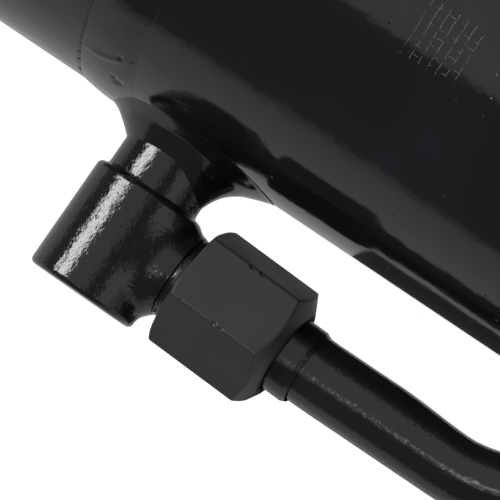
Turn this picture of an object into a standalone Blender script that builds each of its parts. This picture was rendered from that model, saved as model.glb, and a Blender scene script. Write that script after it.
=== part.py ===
"""Double-acting hydraulic cylinder with welded elbow ports and a steel transfer tube.

Frame: the origin is the centre of the base eye's pin hole, +X runs along the cylinder's axis towards
the rod eye, +Z runs along both pin holes, and the base port points to -Y. The cylinder is retracted.
All sizes are in metres. Round pieces are turned outlines of (station along the axis, radius).
"""

import math

import bmesh
import bpy
from mathutils import Vector

INCH = 0.0254
MM = 0.001
GAP = 0.3 * MM  # running or seating gap kept between touching pieces

# Driving dimensions
BARREL_R = 4.5 * INCH / 2
BORE_R = 4.0 * INCH / 2
ROD_R = 2.25 * INCH / 2
STROKE = 16.0 * INCH
PIN_R = 2.0 * INCH / 2
BUSH_R = 2.375 * INCH / 2
EYE_R = 50.0 * MM
EYE_HALF_WIDTH = 2.75 * INCH / 2
TUBE_R = 0.625 * INCH / 2
TUBE_WALL = 1.65 * MM
TAIL_R = 1.5 * INCH / 2  # the rod's threaded tail, inside the piston and its nut
NIPPLE_R = 3.0 * MM
NUT_FLATS = 26.5 * MM
NUT_LENGTH = 26.0 * MM
NUT_BACK_R = 10.2 * MM  # flat face round the tube, inside the nut's long chamfer

# Stations along the cylinder's axis, retracted
CAP_BACK_X = 62.0 * MM
WELD_X = 97.0 * MM
WELD_HALF_WIDTH = 7.0 * MM
WELD_CROWN = 0.7 * MM
CAP_SPIGOT_END_X = 107.5 * MM
BASE_PORT_X = 116.0 * MM
PISTON_NUT_X = 108.0 * MM
PISTON_X = 136.0 * MM
PISTON_LENGTH = 50.0 * MM
GLAND_X = PISTON_X + PISTON_LENGTH + STROKE + 1.6 * MM
GLAND_PORT_X = GLAND_X + 14.0 * MM
BARREL_END_X = GLAND_X + 90.0 * MM
GLAND_FACE_X = GLAND_X + 106.0 * MM
ROD_EYE_X = GLAND_FACE_X + 84.0 * MM
CLAMP_X = 340.0 * MM
LOCK_SCREW_X = GLAND_X + 70.0 * MM
LOCK_SCREW_R = 4.0 * MM
BRACKET_X = 556.0 * MM

# Welded elbow ports, measured outwards from the barrel's surface and along the elbow's arm
STEM_R = 11.0 * MM
COLLAR_R = 13.0 * MM
COLLAR_START = 12.4 * MM
COLLAR_END = 39.0 * MM
ARM_R = 9.75 * MM
ARM_HEIGHT = 23.2 * MM
PORT_HOLE_R = 7.0 * MM
PASSAGE_R = 5.5 * MM
SEAT = 18.1 * MM  # from the stem's axis to the face that the tube nut starts at
BASE_PORT_LEAN = math.radians(0.5)
BASE_ARM_LEAN = math.radians(2.0)  # more than square to the stem
GLAND_PORT_CLOCK = math.radians(45.0)
HEX_TURN = math.radians(15.4)

# Transfer tube: height of its axis above the barrel's surface along its run, and its bends
STRAIGHT_END = 32.2 * MM  # past the face that the tube nut starts at
RUN_HEIGHT = 17.6 * MM
DROP_X = BASE_PORT_X + 85.5 * MM
EASE_R = 100.0 * MM
BEND_R = 40.0 * MM
BEND_ANGLE = math.radians(15.0)
UNION_FLATS = 27.0 * MM
LOCKNUT_FLATS = 28.4 * MM
UNION_HEX_TURN = math.radians(30.0)

ROUND = 32  # sides of large round pieces
RING = 24  # sides of seals and rings
FITTING = 20  # sides of fittings
SMALL = 12  # sides of small pieces

FINISHES = {  # colour, metallic, roughness
    "black_paint": ((0.018, 0.018, 0.020), 0.0, 0.12),
    "nut_paint": ((0.030, 0.031, 0.033), 0.0, 0.45),
    "hard_chrome": ((0.78, 0.79, 0.80), 1.0, 0.08),
    "machined_steel": ((0.52, 0.53, 0.54), 1.0, 0.32),
    "bronze": ((0.55, 0.38, 0.18), 1.0, 0.38),
    "zinc_plate": ((0.66, 0.66, 0.62), 1.0, 0.30),
    "nitrile_rubber": ((0.025, 0.025, 0.025), 0.0, 0.55),
    "polyurethane": ((0.10, 0.20, 0.42), 0.0, 0.40),
    "filled_ptfe": ((0.26, 0.17, 0.10), 0.0, 0.50),
    "clamp_polymer": ((0.06, 0.06, 0.065), 0.0, 0.60),
}


def piece_material(name, finish):
    """The piece's own material, with its finish's colour, metallic value and roughness."""
    colour, metallic, roughness = FINISHES[finish]
    material = bpy.data.materials.new(name)
    material.use_nodes = True
    shader = material.node_tree.nodes["Principled BSDF"]
    shader.inputs["Base Color"].default_value = (*colour, 1.0)
    shader.inputs["Metallic"].default_value = metallic
    shader.inputs["Roughness"].default_value = roughness
    return material


def add_object(name, shape, finish, place=None, parent=None):
    """Closes the bmesh into a named object, at place under parent."""
    bmesh.ops.remove_doubles(shape, verts=shape.verts, dist=1e-6)
    bmesh.ops.recalc_face_normals(shape, faces=shape.faces)
    mesh = bpy.data.meshes.new(name)
    shape.to_mesh(mesh)
    shape.free()
    mesh.shade_smooth()
    mesh.set_sharp_from_angle(angle=math.radians(30.0))
    mesh.materials.append(piece_material(name, finish))
    made = bpy.data.objects.new(name, mesh)
    bpy.context.scene.collection.objects.link(made)
    made.location = place or (0.0, 0.0, 0.0)
    made.parent = parent
    return made


def add_frame(name, place, turn=(0.0, 0.0, 0.0), parent=None):
    """An empty that pieces are placed from."""
    frame = bpy.data.objects.new(name, None)
    bpy.context.scene.collection.objects.link(frame)
    frame.location = place
    frame.rotation_euler = turn
    frame.parent = parent
    return frame


def turned(name, outline, finish, sides=ROUND, axis="X", place=None, parent=None):
    """A turned piece: the closed outline of (station, radius) points spun about the local X or Z axis."""
    shape = bmesh.new()
    points = [
        shape.verts.new((along, 0.0, radius) if axis == "X" else (radius, 0.0, along))
        for along, radius in outline
    ]
    edges = [
        shape.edges.new((first, second))
        for (first, (_, a)), (second, (_, b)) in zip(
            zip(points, outline), zip(points[1:] + points[:1], outline[1:] + outline[:1])
        )
        if a > 0.0 or b > 0.0
    ]
    about = (1.0, 0.0, 0.0) if axis == "X" else (0.0, 0.0, 1.0)
    bmesh.ops.spin(
        shape,
        geom=points + edges,
        cent=(0.0, 0.0, 0.0),
        axis=about,
        angle=2.0 * math.pi,
        steps=sides,
        use_merge=True,
    )
    return add_object(name, shape, finish, place, parent)


def ring(name, start, end, inner, outer, finish, sides=RING, axis="X", place=None, parent=None):
    """A plain ring between two stations."""
    outline = [(start, inner), (end, inner), (end, outer), (start, outer)]
    return turned(name, outline, finish, sides, axis, place, parent)


def rod_shape(name, start, end, radius, finish, sides=ROUND, axis="X", place=None, parent=None):
    """A plain solid cylinder between two stations."""
    outline = [(start, 0.0), (end, 0.0), (end, radius), (start, radius)]
    return turned(name, outline, finish, sides, axis, place, parent)


def block(name, low, high, finish, place=None, parent=None):
    """A rectangular block between two corners."""
    shape = bmesh.new()
    bmesh.ops.create_cube(shape, size=1.0)
    for corner in shape.verts:
        corner.co = Vector(
            tuple(a + (c + 0.5) * (b - a) for a, b, c in zip(low, high, corner.co))
        )
    return add_object(name, shape, finish, place, parent)


def prism(name, outline, start, end, finish, place=None, parent=None):
    """An outline of (y, z) points extruded along X between two stations."""
    shape = bmesh.new()
    face = shape.faces.new([shape.verts.new((start, y, z)) for y, z in outline])
    grown = bmesh.ops.extrude_face_region(shape, geom=[face])["geom"]
    moved = [item for item in grown if isinstance(item, bmesh.types.BMVert)]
    bmesh.ops.translate(shape, verts=moved, vec=(end - start, 0.0, 0.0))
    return add_object(name, shape, finish, place, parent)


def boolean(target, tool, operation="DIFFERENCE"):
    """Cuts the tool from the target, joins it to it or keeps what they share. The tool is a helper."""
    modifier = target.modifiers.new(tool.name, "BOOLEAN")
    modifier.operation = operation
    modifier.solver = "EXACT"
    modifier.object = tool
    tool.hide_render = True
    tool.display_type = "WIRE"
    return target


def hex_outline(flats, turn=0.0):
    """The six (y, z) corners of a hexagon, from its width across flats."""
    corner_r = flats / 2 / math.cos(math.pi / 6)
    angles = [turn + math.pi / 3 * corner for corner in range(6)]
    return [(corner_r * math.cos(angle), corner_r * math.sin(angle)) for angle in angles]


def chamfer_tool(name, start, end, flats, parent=None, place=None, end_face_r=None):
    """Turned body that gives a hexagon its 30 degree end chamfers; end_face_r is the far face's radius."""
    reach_r = flats / 2 / math.cos(math.pi / 6) + 0.1 * MM
    face_r = flats / 2 * 1.04
    end_face_r = end_face_r or face_r
    slope = math.copysign(math.tan(math.radians(30.0)), end - start)
    outline = [
        (start, 0.0),
        (start, face_r),
        (start + (reach_r - face_r) * slope, reach_r),
        (end - (reach_r - end_face_r) * slope, reach_r),
        (end, end_face_r),
        (end, 0.0),
    ]
    return turned(name, outline, "nut_paint", RING, "X", place, parent)


# ---------------------------------------------------------------- barrel and base cap


def barrel_envelope():
    """Helper: the barrel's outside with the seating gap, cut from whatever sits on the barrel."""
    helper = rod_shape(
        "barrel_envelope", CAP_BACK_X, BARREL_END_X + 40 * MM, BARREL_R + GAP, "black_paint"
    )
    helper.hide_render = True
    helper.display_type = "WIRE"
    return helper


def barrel_tube(ports):
    """Honed tube with a bevelled weld end, a counterbored gland end, two port holes and a screw hole."""
    start = WELD_X + 1.0 * MM
    thread_x = GLAND_X + 50.0 * MM
    outline = [
        (start, BORE_R),
        (thread_x, BORE_R),
        (thread_x + 1.0 * MM, BORE_R + 1.0 * MM),
        (BARREL_END_X, BORE_R + 1.0 * MM),
        (BARREL_END_X, BARREL_R - 1.0 * MM),
        (BARREL_END_X - 1.0 * MM, BARREL_R),
        (WELD_X + WELD_HALF_WIDTH, BARREL_R),
        (start, BORE_R + 1.0 * MM),
    ]
    tube = turned("barrel_tube", outline, "black_paint")
    for port in ports:
        hole = (port.name + "_hole", -20 * MM, 5 * MM, PORT_HOLE_R)
        boolean(tube, rod_shape(*hole, "black_paint", FITTING, "Z", parent=port))
    screw_hole = ("lock_screw_hole", BORE_R - 2 * MM, BARREL_R + 2 * MM, LOCK_SCREW_R + GAP)
    boolean(tube, rod_shape(*screw_hole, "black_paint", SMALL, "Z", (LOCK_SCREW_X, 0.0, 0.0)))


def eye_hole(name, parent=None):
    """Helper: the hole through an eye that its bush and seals sit in."""
    reach = EYE_HALF_WIDTH + 5 * MM
    return rod_shape(name, -reach, reach, BUSH_R + GAP, "black_paint", ROUND, "Z", parent=parent)


def base_cap():
    """Forged cap: eye, web, full-diameter disc with a weld bevel, and the spigot inside the barrel."""
    outline = [
        (CAP_BACK_X, 0.0),
        (CAP_BACK_X, BARREL_R - 3.0 * MM),
        (CAP_BACK_X + 3.0 * MM, BARREL_R),
        (WELD_X - WELD_HALF_WIDTH, BARREL_R),
        (WELD_X - 1.0 * MM, BORE_R + 0.2 * MM),
        (WELD_X, BORE_R - GAP),
        (CAP_SPIGOT_END_X - 1.5 * MM, BORE_R - GAP),
        (CAP_SPIGOT_END_X, BORE_R - 1.5 * MM),
        (CAP_SPIGOT_END_X, 0.0),
    ]
    cap = turned("base_cap", outline, "black_paint")
    eye = rod_shape(
        "base_cap_eye", -EYE_HALF_WIDTH, EYE_HALF_WIDTH, EYE_R, "black_paint", ROUND, "Z"
    )
    web = block(
        "base_cap_web",
        (0.0, -44 * MM, -EYE_HALF_WIDTH + 3 * MM),
        (CAP_BACK_X + 6 * MM, 44 * MM, EYE_HALF_WIDTH - 3 * MM),
        "black_paint",
    )
    boolean(cap, eye, "UNION")
    boolean(cap, web, "UNION")
    boolean(cap, nipple_hole("base_nipple_hole", base_nipple_frame()))
    boolean(cap, eye_hole("base_eye_hole"))


def base_weld():
    """Groove weld between cap and barrel, with a low crown that stands proud of both."""
    rise = BARREL_R + 0.3 * MM
    outline = [
        (WELD_X - 0.4 * MM, BORE_R + 1.1 * MM),
        (WELD_X + 0.4 * MM, BORE_R + 1.1 * MM),
        (WELD_X + WELD_HALF_WIDTH - 0.4 * MM, rise),
        (WELD_X + WELD_HALF_WIDTH * 0.45, BARREL_R + WELD_CROWN),
        (WELD_X - WELD_HALF_WIDTH * 0.45, BARREL_R + WELD_CROWN),
        (WELD_X - WELD_HALF_WIDTH + 0.4 * MM, rise),
    ]
    turned("base_weld", outline, "black_paint")


# ---------------------------------------------------------------- elbows and their welds


def port_frame(name, station, turn_x, lean=0.0):
    """Frame of a port: its origin is on the barrel's surface, +Z points outwards and +X to the rod end."""
    outwards = Vector((0.0, -math.sin(turn_x), math.cos(turn_x)))
    place = Vector((station, 0.0, 0.0)) + BARREL_R * outwards
    return add_frame(name, place, (turn_x, 0.0, -lean))


def arm_frame(name, port, lean=0.0):
    """Frame of an elbow's arm: its origin is on the stem's axis and +X runs along the arm."""
    return add_frame(name, (0.0, 0.0, ARM_HEIGHT), (0.0, -lean, 0.0), port)


def stud_outline(seat):
    """Male 37 degree flare stud from its seat plane to its nose, as (station, radius)."""
    return [
        (seat + 0.6 * MM, ARM_R),
        (seat + 1.4 * MM, 10.9 * MM),
        (seat + 13.4 * MM, 10.9 * MM),
        (seat + 14.3 * MM, 10.1 * MM),
        (seat + 18.7 * MM, 6.8 * MM),
        (seat + 18.7 * MM, 0.0),
    ]


def port_elbow(name, frame, arm_place, envelope):
    """Forged elbow: stem with a locating spigot, round collar, and an arm that ends in a flare stud."""
    round_over = 1.5 * MM
    outline = [
        (-4.0 * MM, 0.0),
        (-4.0 * MM, STEM_R),
        (COLLAR_START, STEM_R),
        (COLLAR_START + 0.6 * MM, COLLAR_R - 0.3 * MM),
        (COLLAR_START + round_over, COLLAR_R),
        (COLLAR_END - round_over, COLLAR_R),
        (COLLAR_END - 0.4 * MM, COLLAR_R - 0.45 * MM),
        (COLLAR_END, COLLAR_R - round_over),
        (COLLAR_END, 0.0),
    ]
    elbow = turned(name, outline, "black_paint", FITTING, "Z", parent=frame)
    arm = turned(
        name + "_arm",
        [(0.0, 0.0), (0.0, ARM_R)] + stud_outline(SEAT),
        "black_paint",
        FITTING,
        parent=arm_place,
    )

    def drilling(suffix, start, end, radius, axis, parent):
        return rod_shape(name + suffix, start, end, radius, "black_paint", FITTING, axis, parent=parent)

    wall = BARREL_R - BORE_R
    spigot = drilling("_spigot", 0.5 * MM - wall, 2 * MM, PORT_HOLE_R - GAP, "Z", frame)
    stem_passage = drilling("_stem_passage", -20 * MM, ARM_HEIGHT + PASSAGE_R, PASSAGE_R, "Z", frame)
    arm_passage = drilling("_arm_passage", 0.0, 60 * MM, PASSAGE_R, "X", arm_place)
    boolean(elbow, arm, "UNION")
    boolean(elbow, envelope)
    boolean(elbow, spigot, "UNION")
    boolean(elbow, stem_passage)
    boolean(elbow, arm_passage)


def port_weld(name, frame, envelope, trims=()):
    """Concave fillet weld round an elbow's stem, following the barrel's curve."""
    inner = STEM_R + GAP
    outline = [
        (-8.0 * MM, inner),
        (6.4 * MM, inner),
        (5.2 * MM, 12.2 * MM),
        (3.0 * MM, 13.6 * MM),
        (1.6 * MM, 15.6 * MM),
        (0.9 * MM, 18.6 * MM),
        (-1.6 * MM, 20.4 * MM),
        (-8.0 * MM, 21.5 * MM),
    ]
    weld = turned(name, outline, "black_paint", RING, "Z", parent=frame)
    for trim in [envelope, *trims]:
        boolean(weld, trim)


# ---------------------------------------------------------------- transfer tube and its fittings


def tube_nut(name, seat, direction, parent=None, place=None):
    """Hexagon tube nut over a flare stud; direction is +1 where the tube leaves towards +X."""
    ends = (seat, seat + direction * NUT_LENGTH)
    nut = prism(name, hex_outline(NUT_FLATS, HEX_TURN), *ends, "nut_paint", place, parent)
    chamfer = chamfer_tool(name + "_chamfer", *ends, NUT_FLATS, parent, place, NUT_BACK_R)
    boolean(nut, chamfer, "INTERSECT")
    bore = [
        (-1.0 * MM, 0.0),
        (-1.0 * MM, 11.2 * MM),
        (19.9 * MM, 11.2 * MM),
        (22.0 * MM, 9.1 * MM),
        (NUT_LENGTH + 1.0 * MM, 9.1 * MM),
        (NUT_LENGTH + 1.0 * MM, 0.0),
    ]
    outline = [(seat + direction * along, radius) for along, radius in bore]
    boolean(nut, turned(name + "_bore", outline, "nut_paint", FITTING, "X", place, parent))


def tube_sleeve(name, seat, direction, parent=None, place=None):
    """Flare sleeve: a head with an inner cone behind the flare, and a tail that shows past the nut."""
    section = [
        (17.9 * MM, 10.2 * MM),
        (17.9 * MM, 10.7 * MM),
        (19.8 * MM, 10.7 * MM),
        (21.7 * MM, 8.8 * MM),
        (30.6 * MM, 8.8 * MM),
        (31.6 * MM, 8.4 * MM),
        (31.6 * MM, TUBE_R + GAP),
        (20.5 * MM, TUBE_R + GAP),
    ]
    outline = [(seat + direction * along, radius) for along, radius in section]
    turned(name, outline, "nut_paint", FITTING, "X", place, parent)


def flare_stations():
    """The flared tube end as (distance past the seat plane, outer radius, inner radius)."""
    straight_inner = TUBE_R - TUBE_WALL
    return [
        (16.9 * MM, 9.6 * MM, 8.8 * MM),
        (20.2 * MM, TUBE_R + 0.15 * MM, straight_inner + 0.1 * MM),
        (20.9 * MM, TUBE_R, straight_inner),
        (STRAIGHT_END, TUBE_R, straight_inner),
    ]


def bend_points(start, heading, turn, radius, steps):
    """Points and headings along a bend in the XY plane; a positive turn is anticlockwise seen from +Z."""
    side = math.copysign(1.0, turn)
    centre = start + radius * side * Vector((-math.sin(heading), math.cos(heading), 0.0))
    stations = []
    for step in range(steps + 1):
        now = heading + turn * step / steps
        offset = radius * side * Vector((math.sin(now), -math.cos(now), 0.0))
        stations.append((centre + offset, now))
    return stations


def tube_route():
    """Stations (point, heading, outer radius, inner radius) from the base elbow to the hose union."""
    inner = TUBE_R - TUBE_WALL
    arm_lean = BASE_PORT_LEAN + BASE_ARM_LEAN
    along = Vector((math.cos(arm_lean), -math.sin(arm_lean), 0.0))
    outwards = Vector((-math.sin(BASE_PORT_LEAN), -math.cos(BASE_PORT_LEAN), 0.0))
    origin = Vector((BASE_PORT_X, -BARREL_R, 0.0)) + ARM_HEIGHT * outwards
    stations = [
        (origin + (SEAT + past) * along, -arm_lean, outer, bore) for past, outer, bore in flare_stations()
    ]
    levelled = bend_points(origin + (SEAT + STRAIGHT_END + 0.5 * MM) * along, -arm_lean, arm_lean, EASE_R, 2)
    dropped = bend_points(Vector((DROP_X, levelled[-1][0].y, 0.0)), 0.0, BEND_ANGLE, BEND_R, 4)
    run_y = -(BARREL_R + RUN_HEIGHT)
    bend_rise = BEND_R * (1.0 - math.cos(BEND_ANGLE))
    slope_rise = run_y - bend_rise - dropped[-1][0].y
    slope = Vector((slope_rise / math.tan(BEND_ANGLE), slope_rise, 0.0))
    run_start = bend_points(dropped[-1][0] + slope, BEND_ANGLE, -BEND_ANGLE, BEND_R, 4)
    stations += [(point, now, TUBE_R, inner) for point, now in levelled + dropped + run_start]
    seat_x = BRACKET_X - 8.0 * MM
    for past, outer, bore in reversed(flare_stations()):
        stations.append((Vector((seat_x - past, run_y, 0.0)), 0.0, outer, bore))
    return stations


def transfer_tube():
    """Steel tube with a flare at each end, swept along its route with an open bore."""
    shape = bmesh.new()
    outer_rings = []
    inner_rings = []
    for point, heading, outer, inner in tube_route():
        across = Vector((-math.sin(heading), math.cos(heading), 0.0))
        for rings, radius in ((outer_rings, outer), (inner_rings, inner)):
            circle = []
            for side in range(FITTING):
                angle = 2.0 * math.pi * side / FITTING
                offset = radius * (math.cos(angle) * across + Vector((0.0, 0.0, math.sin(angle))))
                circle.append(shape.verts.new(point + offset))
            rings.append(circle)
    walls = list(zip(outer_rings, outer_rings[1:])) + list(zip(inner_rings, inner_rings[1:]))
    walls += [(outer_rings[0], inner_rings[0]), (outer_rings[-1], inner_rings[-1])]
    for first, second in walls:
        for side in range(FITTING):
            after = (side + 1) % FITTING
            shape.faces.new((first[side], first[after], second[after], second[side]))
    add_object("transfer_tube", shape, "black_paint")


def hose_union():
    """Bulkhead union: a flare stud each way from a central hexagon, with a bore right through."""
    height = (0.0, -(BARREL_R + RUN_HEIGHT), 0.0)
    seat_rear = BRACKET_X - 8.0 * MM
    seat_front = BRACKET_X + 16.0 * MM
    hexagon = prism(
        "hose_union",
        hex_outline(UNION_FLATS, UNION_HEX_TURN),
        seat_rear + 0.4 * MM,
        BRACKET_X - GAP,
        "zinc_plate",
        height,
    )
    rear = [(seat_rear - (along - seat_rear), radius) for along, radius in stud_outline(seat_rear)]
    body = [
        (seat_rear + 1.0 * MM, 0.0),
        (seat_rear + 1.0 * MM, ARM_R),
    ]
    rear_stud = turned("union_rear_stud", body + rear, "zinc_plate", FITTING, "X", height)
    front = [
        (BRACKET_X - 2.0 * MM, 0.0),
        (BRACKET_X - 2.0 * MM, 10.9 * MM),
        (seat_front + 13.4 * MM, 10.9 * MM),
        (seat_front + 14.3 * MM, 10.1 * MM),
        (seat_front + 18.7 * MM, 6.8 * MM),
        (seat_front + 18.7 * MM, 0.0),
    ]
    front_stud = turned("union_front_stud", front, "zinc_plate", FITTING, "X", height)
    reach = 40.0 * MM
    ends = (seat_rear - reach, seat_front + reach)
    bore = rod_shape("union_bore", *ends, PASSAGE_R, "zinc_plate", FITTING, "X", height)
    boolean(hexagon, rear_stud, "UNION")
    boolean(hexagon, front_stud, "UNION")
    boolean(hexagon, bore)
    union_locknut(height)


def union_locknut(height):
    """Thin hexagon nut that clamps the union to its bracket."""
    locknut_start = BRACKET_X + 6.0 * MM + GAP
    locknut_end = locknut_start + 8.0 * MM
    locknut = prism(
        "union_locknut",
        hex_outline(LOCKNUT_FLATS, UNION_HEX_TURN),
        locknut_start,
        locknut_end,
        "zinc_plate",
        height,
    )
    ends = (locknut_start, locknut_end)
    chamfer = chamfer_tool("union_locknut_chamfer", *ends, LOCKNUT_FLATS, None, height)
    beyond = (locknut_start - 5 * MM, locknut_end + 5 * MM)
    hole = rod_shape("union_locknut_bore", *beyond, 11.2 * MM, "zinc_plate", FITTING, "X", height)
    boolean(locknut, chamfer, "INTERSECT")
    boolean(locknut, hole)


def union_bracket(envelope):
    """Plate that stands on the barrel across the tube's run, with the union's hole, and its two welds."""
    run_y = -(BARREL_R + RUN_HEIGHT)
    half_width = 20.0 * MM
    shoulder = run_y - 8.0 * MM
    tip = run_y - 20.0 * MM
    outline = [
        (-(BARREL_R - 7 * MM), -half_width),
        (-(BARREL_R - 7 * MM), half_width),
        (shoulder, half_width),
        (tip, half_width - 11 * MM),
        (tip, -half_width + 11 * MM),
        (shoulder, -half_width),
    ]
    bracket = prism("union_bracket", outline, BRACKET_X, BRACKET_X + 6 * MM, "black_paint")
    hole = rod_shape(
        "union_bracket_hole",
        BRACKET_X - 10 * MM,
        BRACKET_X + 16 * MM,
        10.9 * MM + GAP,
        "black_paint",
        FITTING,
        "X",
        (0.0, run_y, 0.0),
    )
    boolean(bracket, envelope)
    boolean(bracket, hole)
    leg = 2.8 * MM
    for name, face, away in (
        ("union_bracket_weld_rear", BRACKET_X - GAP, -1.0),
        ("union_bracket_weld_front", BRACKET_X + 6 * MM + GAP, 1.0),
    ):
        cone = [
            (face, BARREL_R - 1 * MM),
            (face, BARREL_R + leg),
            (face + away * 0.35 * leg, BARREL_R + 0.35 * leg + GAP),
            (face + away * leg, BARREL_R + GAP + 0.2 * MM),
            (face + away * leg, BARREL_R - 1 * MM),
        ]
        weld = turned(name, cone, "black_paint", ROUND)
        sides = block(
            name + "_sides",
            (BRACKET_X - 20 * MM, -(BARREL_R + 10 * MM), -half_width),
            (BRACKET_X + 30 * MM, -30 * MM, half_width),
            "black_paint",
        )
        boolean(weld, sides, "INTERSECT")
        boolean(weld, envelope)


def tube_clamp(envelope):
    """Clamp on the tube's run: saddle plate on the barrel, two polymer halves, cover plate and bolts."""
    frame = add_frame("clamp_frame", (CLAMP_X, -BARREL_R, 0.0), (math.pi / 2, 0.0, 0.0))
    half_length = 15.0 * MM
    half_width = 21.0 * MM
    bolt_y = 14.5 * MM
    layers = (  # name, lower height, upper height, finish
        ("clamp_saddle_plate", -6.0 * MM, 5.0 * MM, "black_paint"),
        ("clamp_inner_half", 5.0 * MM + GAP, RUN_HEIGHT - GAP, "clamp_polymer"),
        ("clamp_outer_half", RUN_HEIGHT + GAP, 30.0 * MM, "clamp_polymer"),
        ("clamp_cover_plate", 30.0 * MM + GAP, 33.3 * MM, "zinc_plate"),
    )
    on_run = (0.0, 0.0, RUN_HEIGHT)
    reach = 2.0 * half_length
    space = ("clamp_tube_space", -reach, reach, TUBE_R + GAP)
    tube_space = rod_shape(*space, "black_paint", FITTING, "X", on_run, frame)
    bolt_r = 3.0 * MM
    sides = (("top", (0.0, bolt_y, 0.0)), ("bottom", (0.0, -bolt_y, 0.0)))
    bolt_spaces = []
    for side, at_bolt in sides:
        space = ("clamp_bolt_space_" + side, -1.5 * MM, 60 * MM, bolt_r + GAP)
        bolt_spaces.append(rod_shape(*space, "black_paint", SMALL, "Z", at_bolt, frame))
    for name, low, high, finish in layers:
        corners = ((-half_length, -half_width, low), (half_length, half_width, high))
        layer = block(name, *corners, finish, parent=frame)
        cutters = list(bolt_spaces)
        if name == "clamp_saddle_plate":
            cutters.append(envelope)
        if finish == "clamp_polymer":
            cutters.append(tube_space)
        for cutter in cutters:
            boolean(layer, cutter)
    head_low = 33.3 * MM + GAP
    head_corner_r = 5.77 * MM
    for side, at_bolt in sides:
        shank = ("clamp_bolt_" + side, 0.0, head_low + 1 * MM, bolt_r)
        bolt = rod_shape(*shank, "zinc_plate", SMALL, "Z", at_bolt, frame)
        head = ("clamp_bolt_head_" + side, head_low, head_low + 4.0 * MM, head_corner_r)
        boolean(bolt, rod_shape(*head, "zinc_plate", 6, "Z", at_bolt, frame), "UNION")


# ---------------------------------------------------------------- gland and its seals


def gland():
    """Screwed gland: nose relieved at the port, sealing land, threaded length and notched collar."""
    bore = ROD_R + 0.42 * MM
    x = GLAND_X
    outer = [
        (0.0, 43.0 * MM),
        (27.0 * MM, 43.0 * MM),
        (29.0 * MM, BORE_R - GAP),
        (35.0 * MM, BORE_R - GAP),
        (35.0 * MM, 45.5 * MM),
        (45.0 * MM, 45.5 * MM),
        (45.0 * MM, BORE_R - GAP),
        (50.0 * MM, BORE_R - GAP),
        (52.0 * MM, BORE_R + 0.6 * MM),
        (90.0 * MM + GAP, BORE_R + 0.6 * MM),
        (90.0 * MM + GAP, BARREL_R),
        (104.0 * MM, BARREL_R),
        (106.0 * MM, BARREL_R - 2.0 * MM),
        (106.0 * MM, 36.0 * MM),
        (95.0 * MM, 36.0 * MM),
        (95.0 * MM, bore),
    ]
    grooves = [  # front station, rear station, groove radius
        (79.0 * MM, 67.0 * MM, 32.0 * MM),
        (58.0 * MM, 47.0 * MM, 36.5 * MM),
        (36.0 * MM, 29.0 * MM, 34.5 * MM),
        (20.0 * MM, 8.0 * MM, 32.0 * MM),
    ]
    inner = []
    for front, rear, radius in grooves:
        inner += [(front, bore), (front, radius), (rear, radius), (rear, bore)]
    outline = outer + inner + [(0.0, bore)]
    body = turned("gland", outline, "black_paint", RING, place=(x, 0.0, 0.0))
    notches = 6
    for notch in range(notches):
        angle = 2.0 * math.pi * (notch + 0.5) / notches
        frame = add_frame(f"gland_notch_frame_{notch}", (x, 0.0, 0.0), (angle, 0.0, 0.0))
        cutter = block(
            f"gland_notch_{notch}",
            (94.0 * MM, -5.0 * MM, BARREL_R - 4.0 * MM),
            (120.0 * MM, 5.0 * MM, BARREL_R + 5.0 * MM),
            "black_paint",
            parent=frame,
        )
        boolean(body, cutter)


def gland_seals():
    """Every ring that the gland holds, from the barrel's chamber out to the wiper."""
    x = GLAND_X
    contact = ROD_R + GAP
    place = (x, 0.0, 0.0)
    for name, rear in (("rear_guide_ring", 8.0 * MM), ("front_guide_ring", 67.0 * MM)):
        ring(name, rear + GAP, rear + 12 * MM - GAP, contact, 31.4 * MM, "filled_ptfe", place=place)
    ring("buffer_seal", 29.3 * MM, 35.7 * MM, contact, 34.0 * MM, "filled_ptfe", place=place)
    cup = [
        (47.4 * MM, contact),
        (57.6 * MM, contact),
        (57.6 * MM, 36.0 * MM),
        (47.4 * MM, 36.0 * MM),
        (47.4 * MM, 34.2 * MM),
        (51.5 * MM, 32.6 * MM),
        (47.4 * MM, 30.8 * MM),
    ]
    turned("rod_seal", cup, "polyurethane", RING, place=place)
    wiper = [
        (95.3 * MM, contact + 1.2 * MM),
        (101.0 * MM, contact + 1.2 * MM),
        (107.5 * MM, contact),
        (107.5 * MM, contact + 1.2 * MM),
        (104.5 * MM, 34.0 * MM),
        (104.5 * MM, 35.6 * MM),
        (95.3 * MM, 35.6 * MM),
    ]
    turned("rod_wiper", wiper, "polyurethane", RING, place=place)
    ring("gland_o_ring", 35.4 * MM, 40.4 * MM, 45.9 * MM, 50.3 * MM, "nitrile_rubber", place=place)
    ring("gland_backup_ring", 40.8 * MM, 44.6 * MM, 45.9 * MM, 50.3 * MM, "filled_ptfe", place=place)


def gland_lock_screw():
    """Socket set screw through the barrel's wall that stops the gland from turning."""
    place = (LOCK_SCREW_X, 0.0, 0.0)
    shank = ("gland_lock_screw", BORE_R + 0.6 * MM + GAP, BARREL_R - 0.5 * MM, LOCK_SCREW_R)
    socket = ("gland_lock_screw_socket", BARREL_R - 3.5 * MM, BARREL_R + 2 * MM, 2.3 * MM)
    screw = rod_shape(*shank, "machined_steel", SMALL, "Z", place)
    boolean(screw, rod_shape(*socket, "machined_steel", 6, "Z", place))


# ---------------------------------------------------------------- eyes, bushes and grease nipples


def eye_lining(prefix, parent=None):
    """Pressed bush and the two dust seals of an eye, about the frame's Z axis."""
    seal_depth = 5.0 * MM
    bush_end = EYE_HALF_WIDTH - 0.3 * MM - seal_depth
    bush = (prefix + "_eye_bush", GAP - bush_end, bush_end - GAP, PIN_R, BUSH_R)
    ring(*bush, "bronze", ROUND, "Z", parent=parent)
    for side, low, high in (
        ("top", bush_end, EYE_HALF_WIDTH - GAP),
        ("bottom", GAP - EYE_HALF_WIDTH, -bush_end),
    ):
        name = f"{prefix}_eye_seal_{side}"
        ring(name, low, high, PIN_R, BUSH_R, "nitrile_rubber", RING, "Z", parent=parent)


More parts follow.
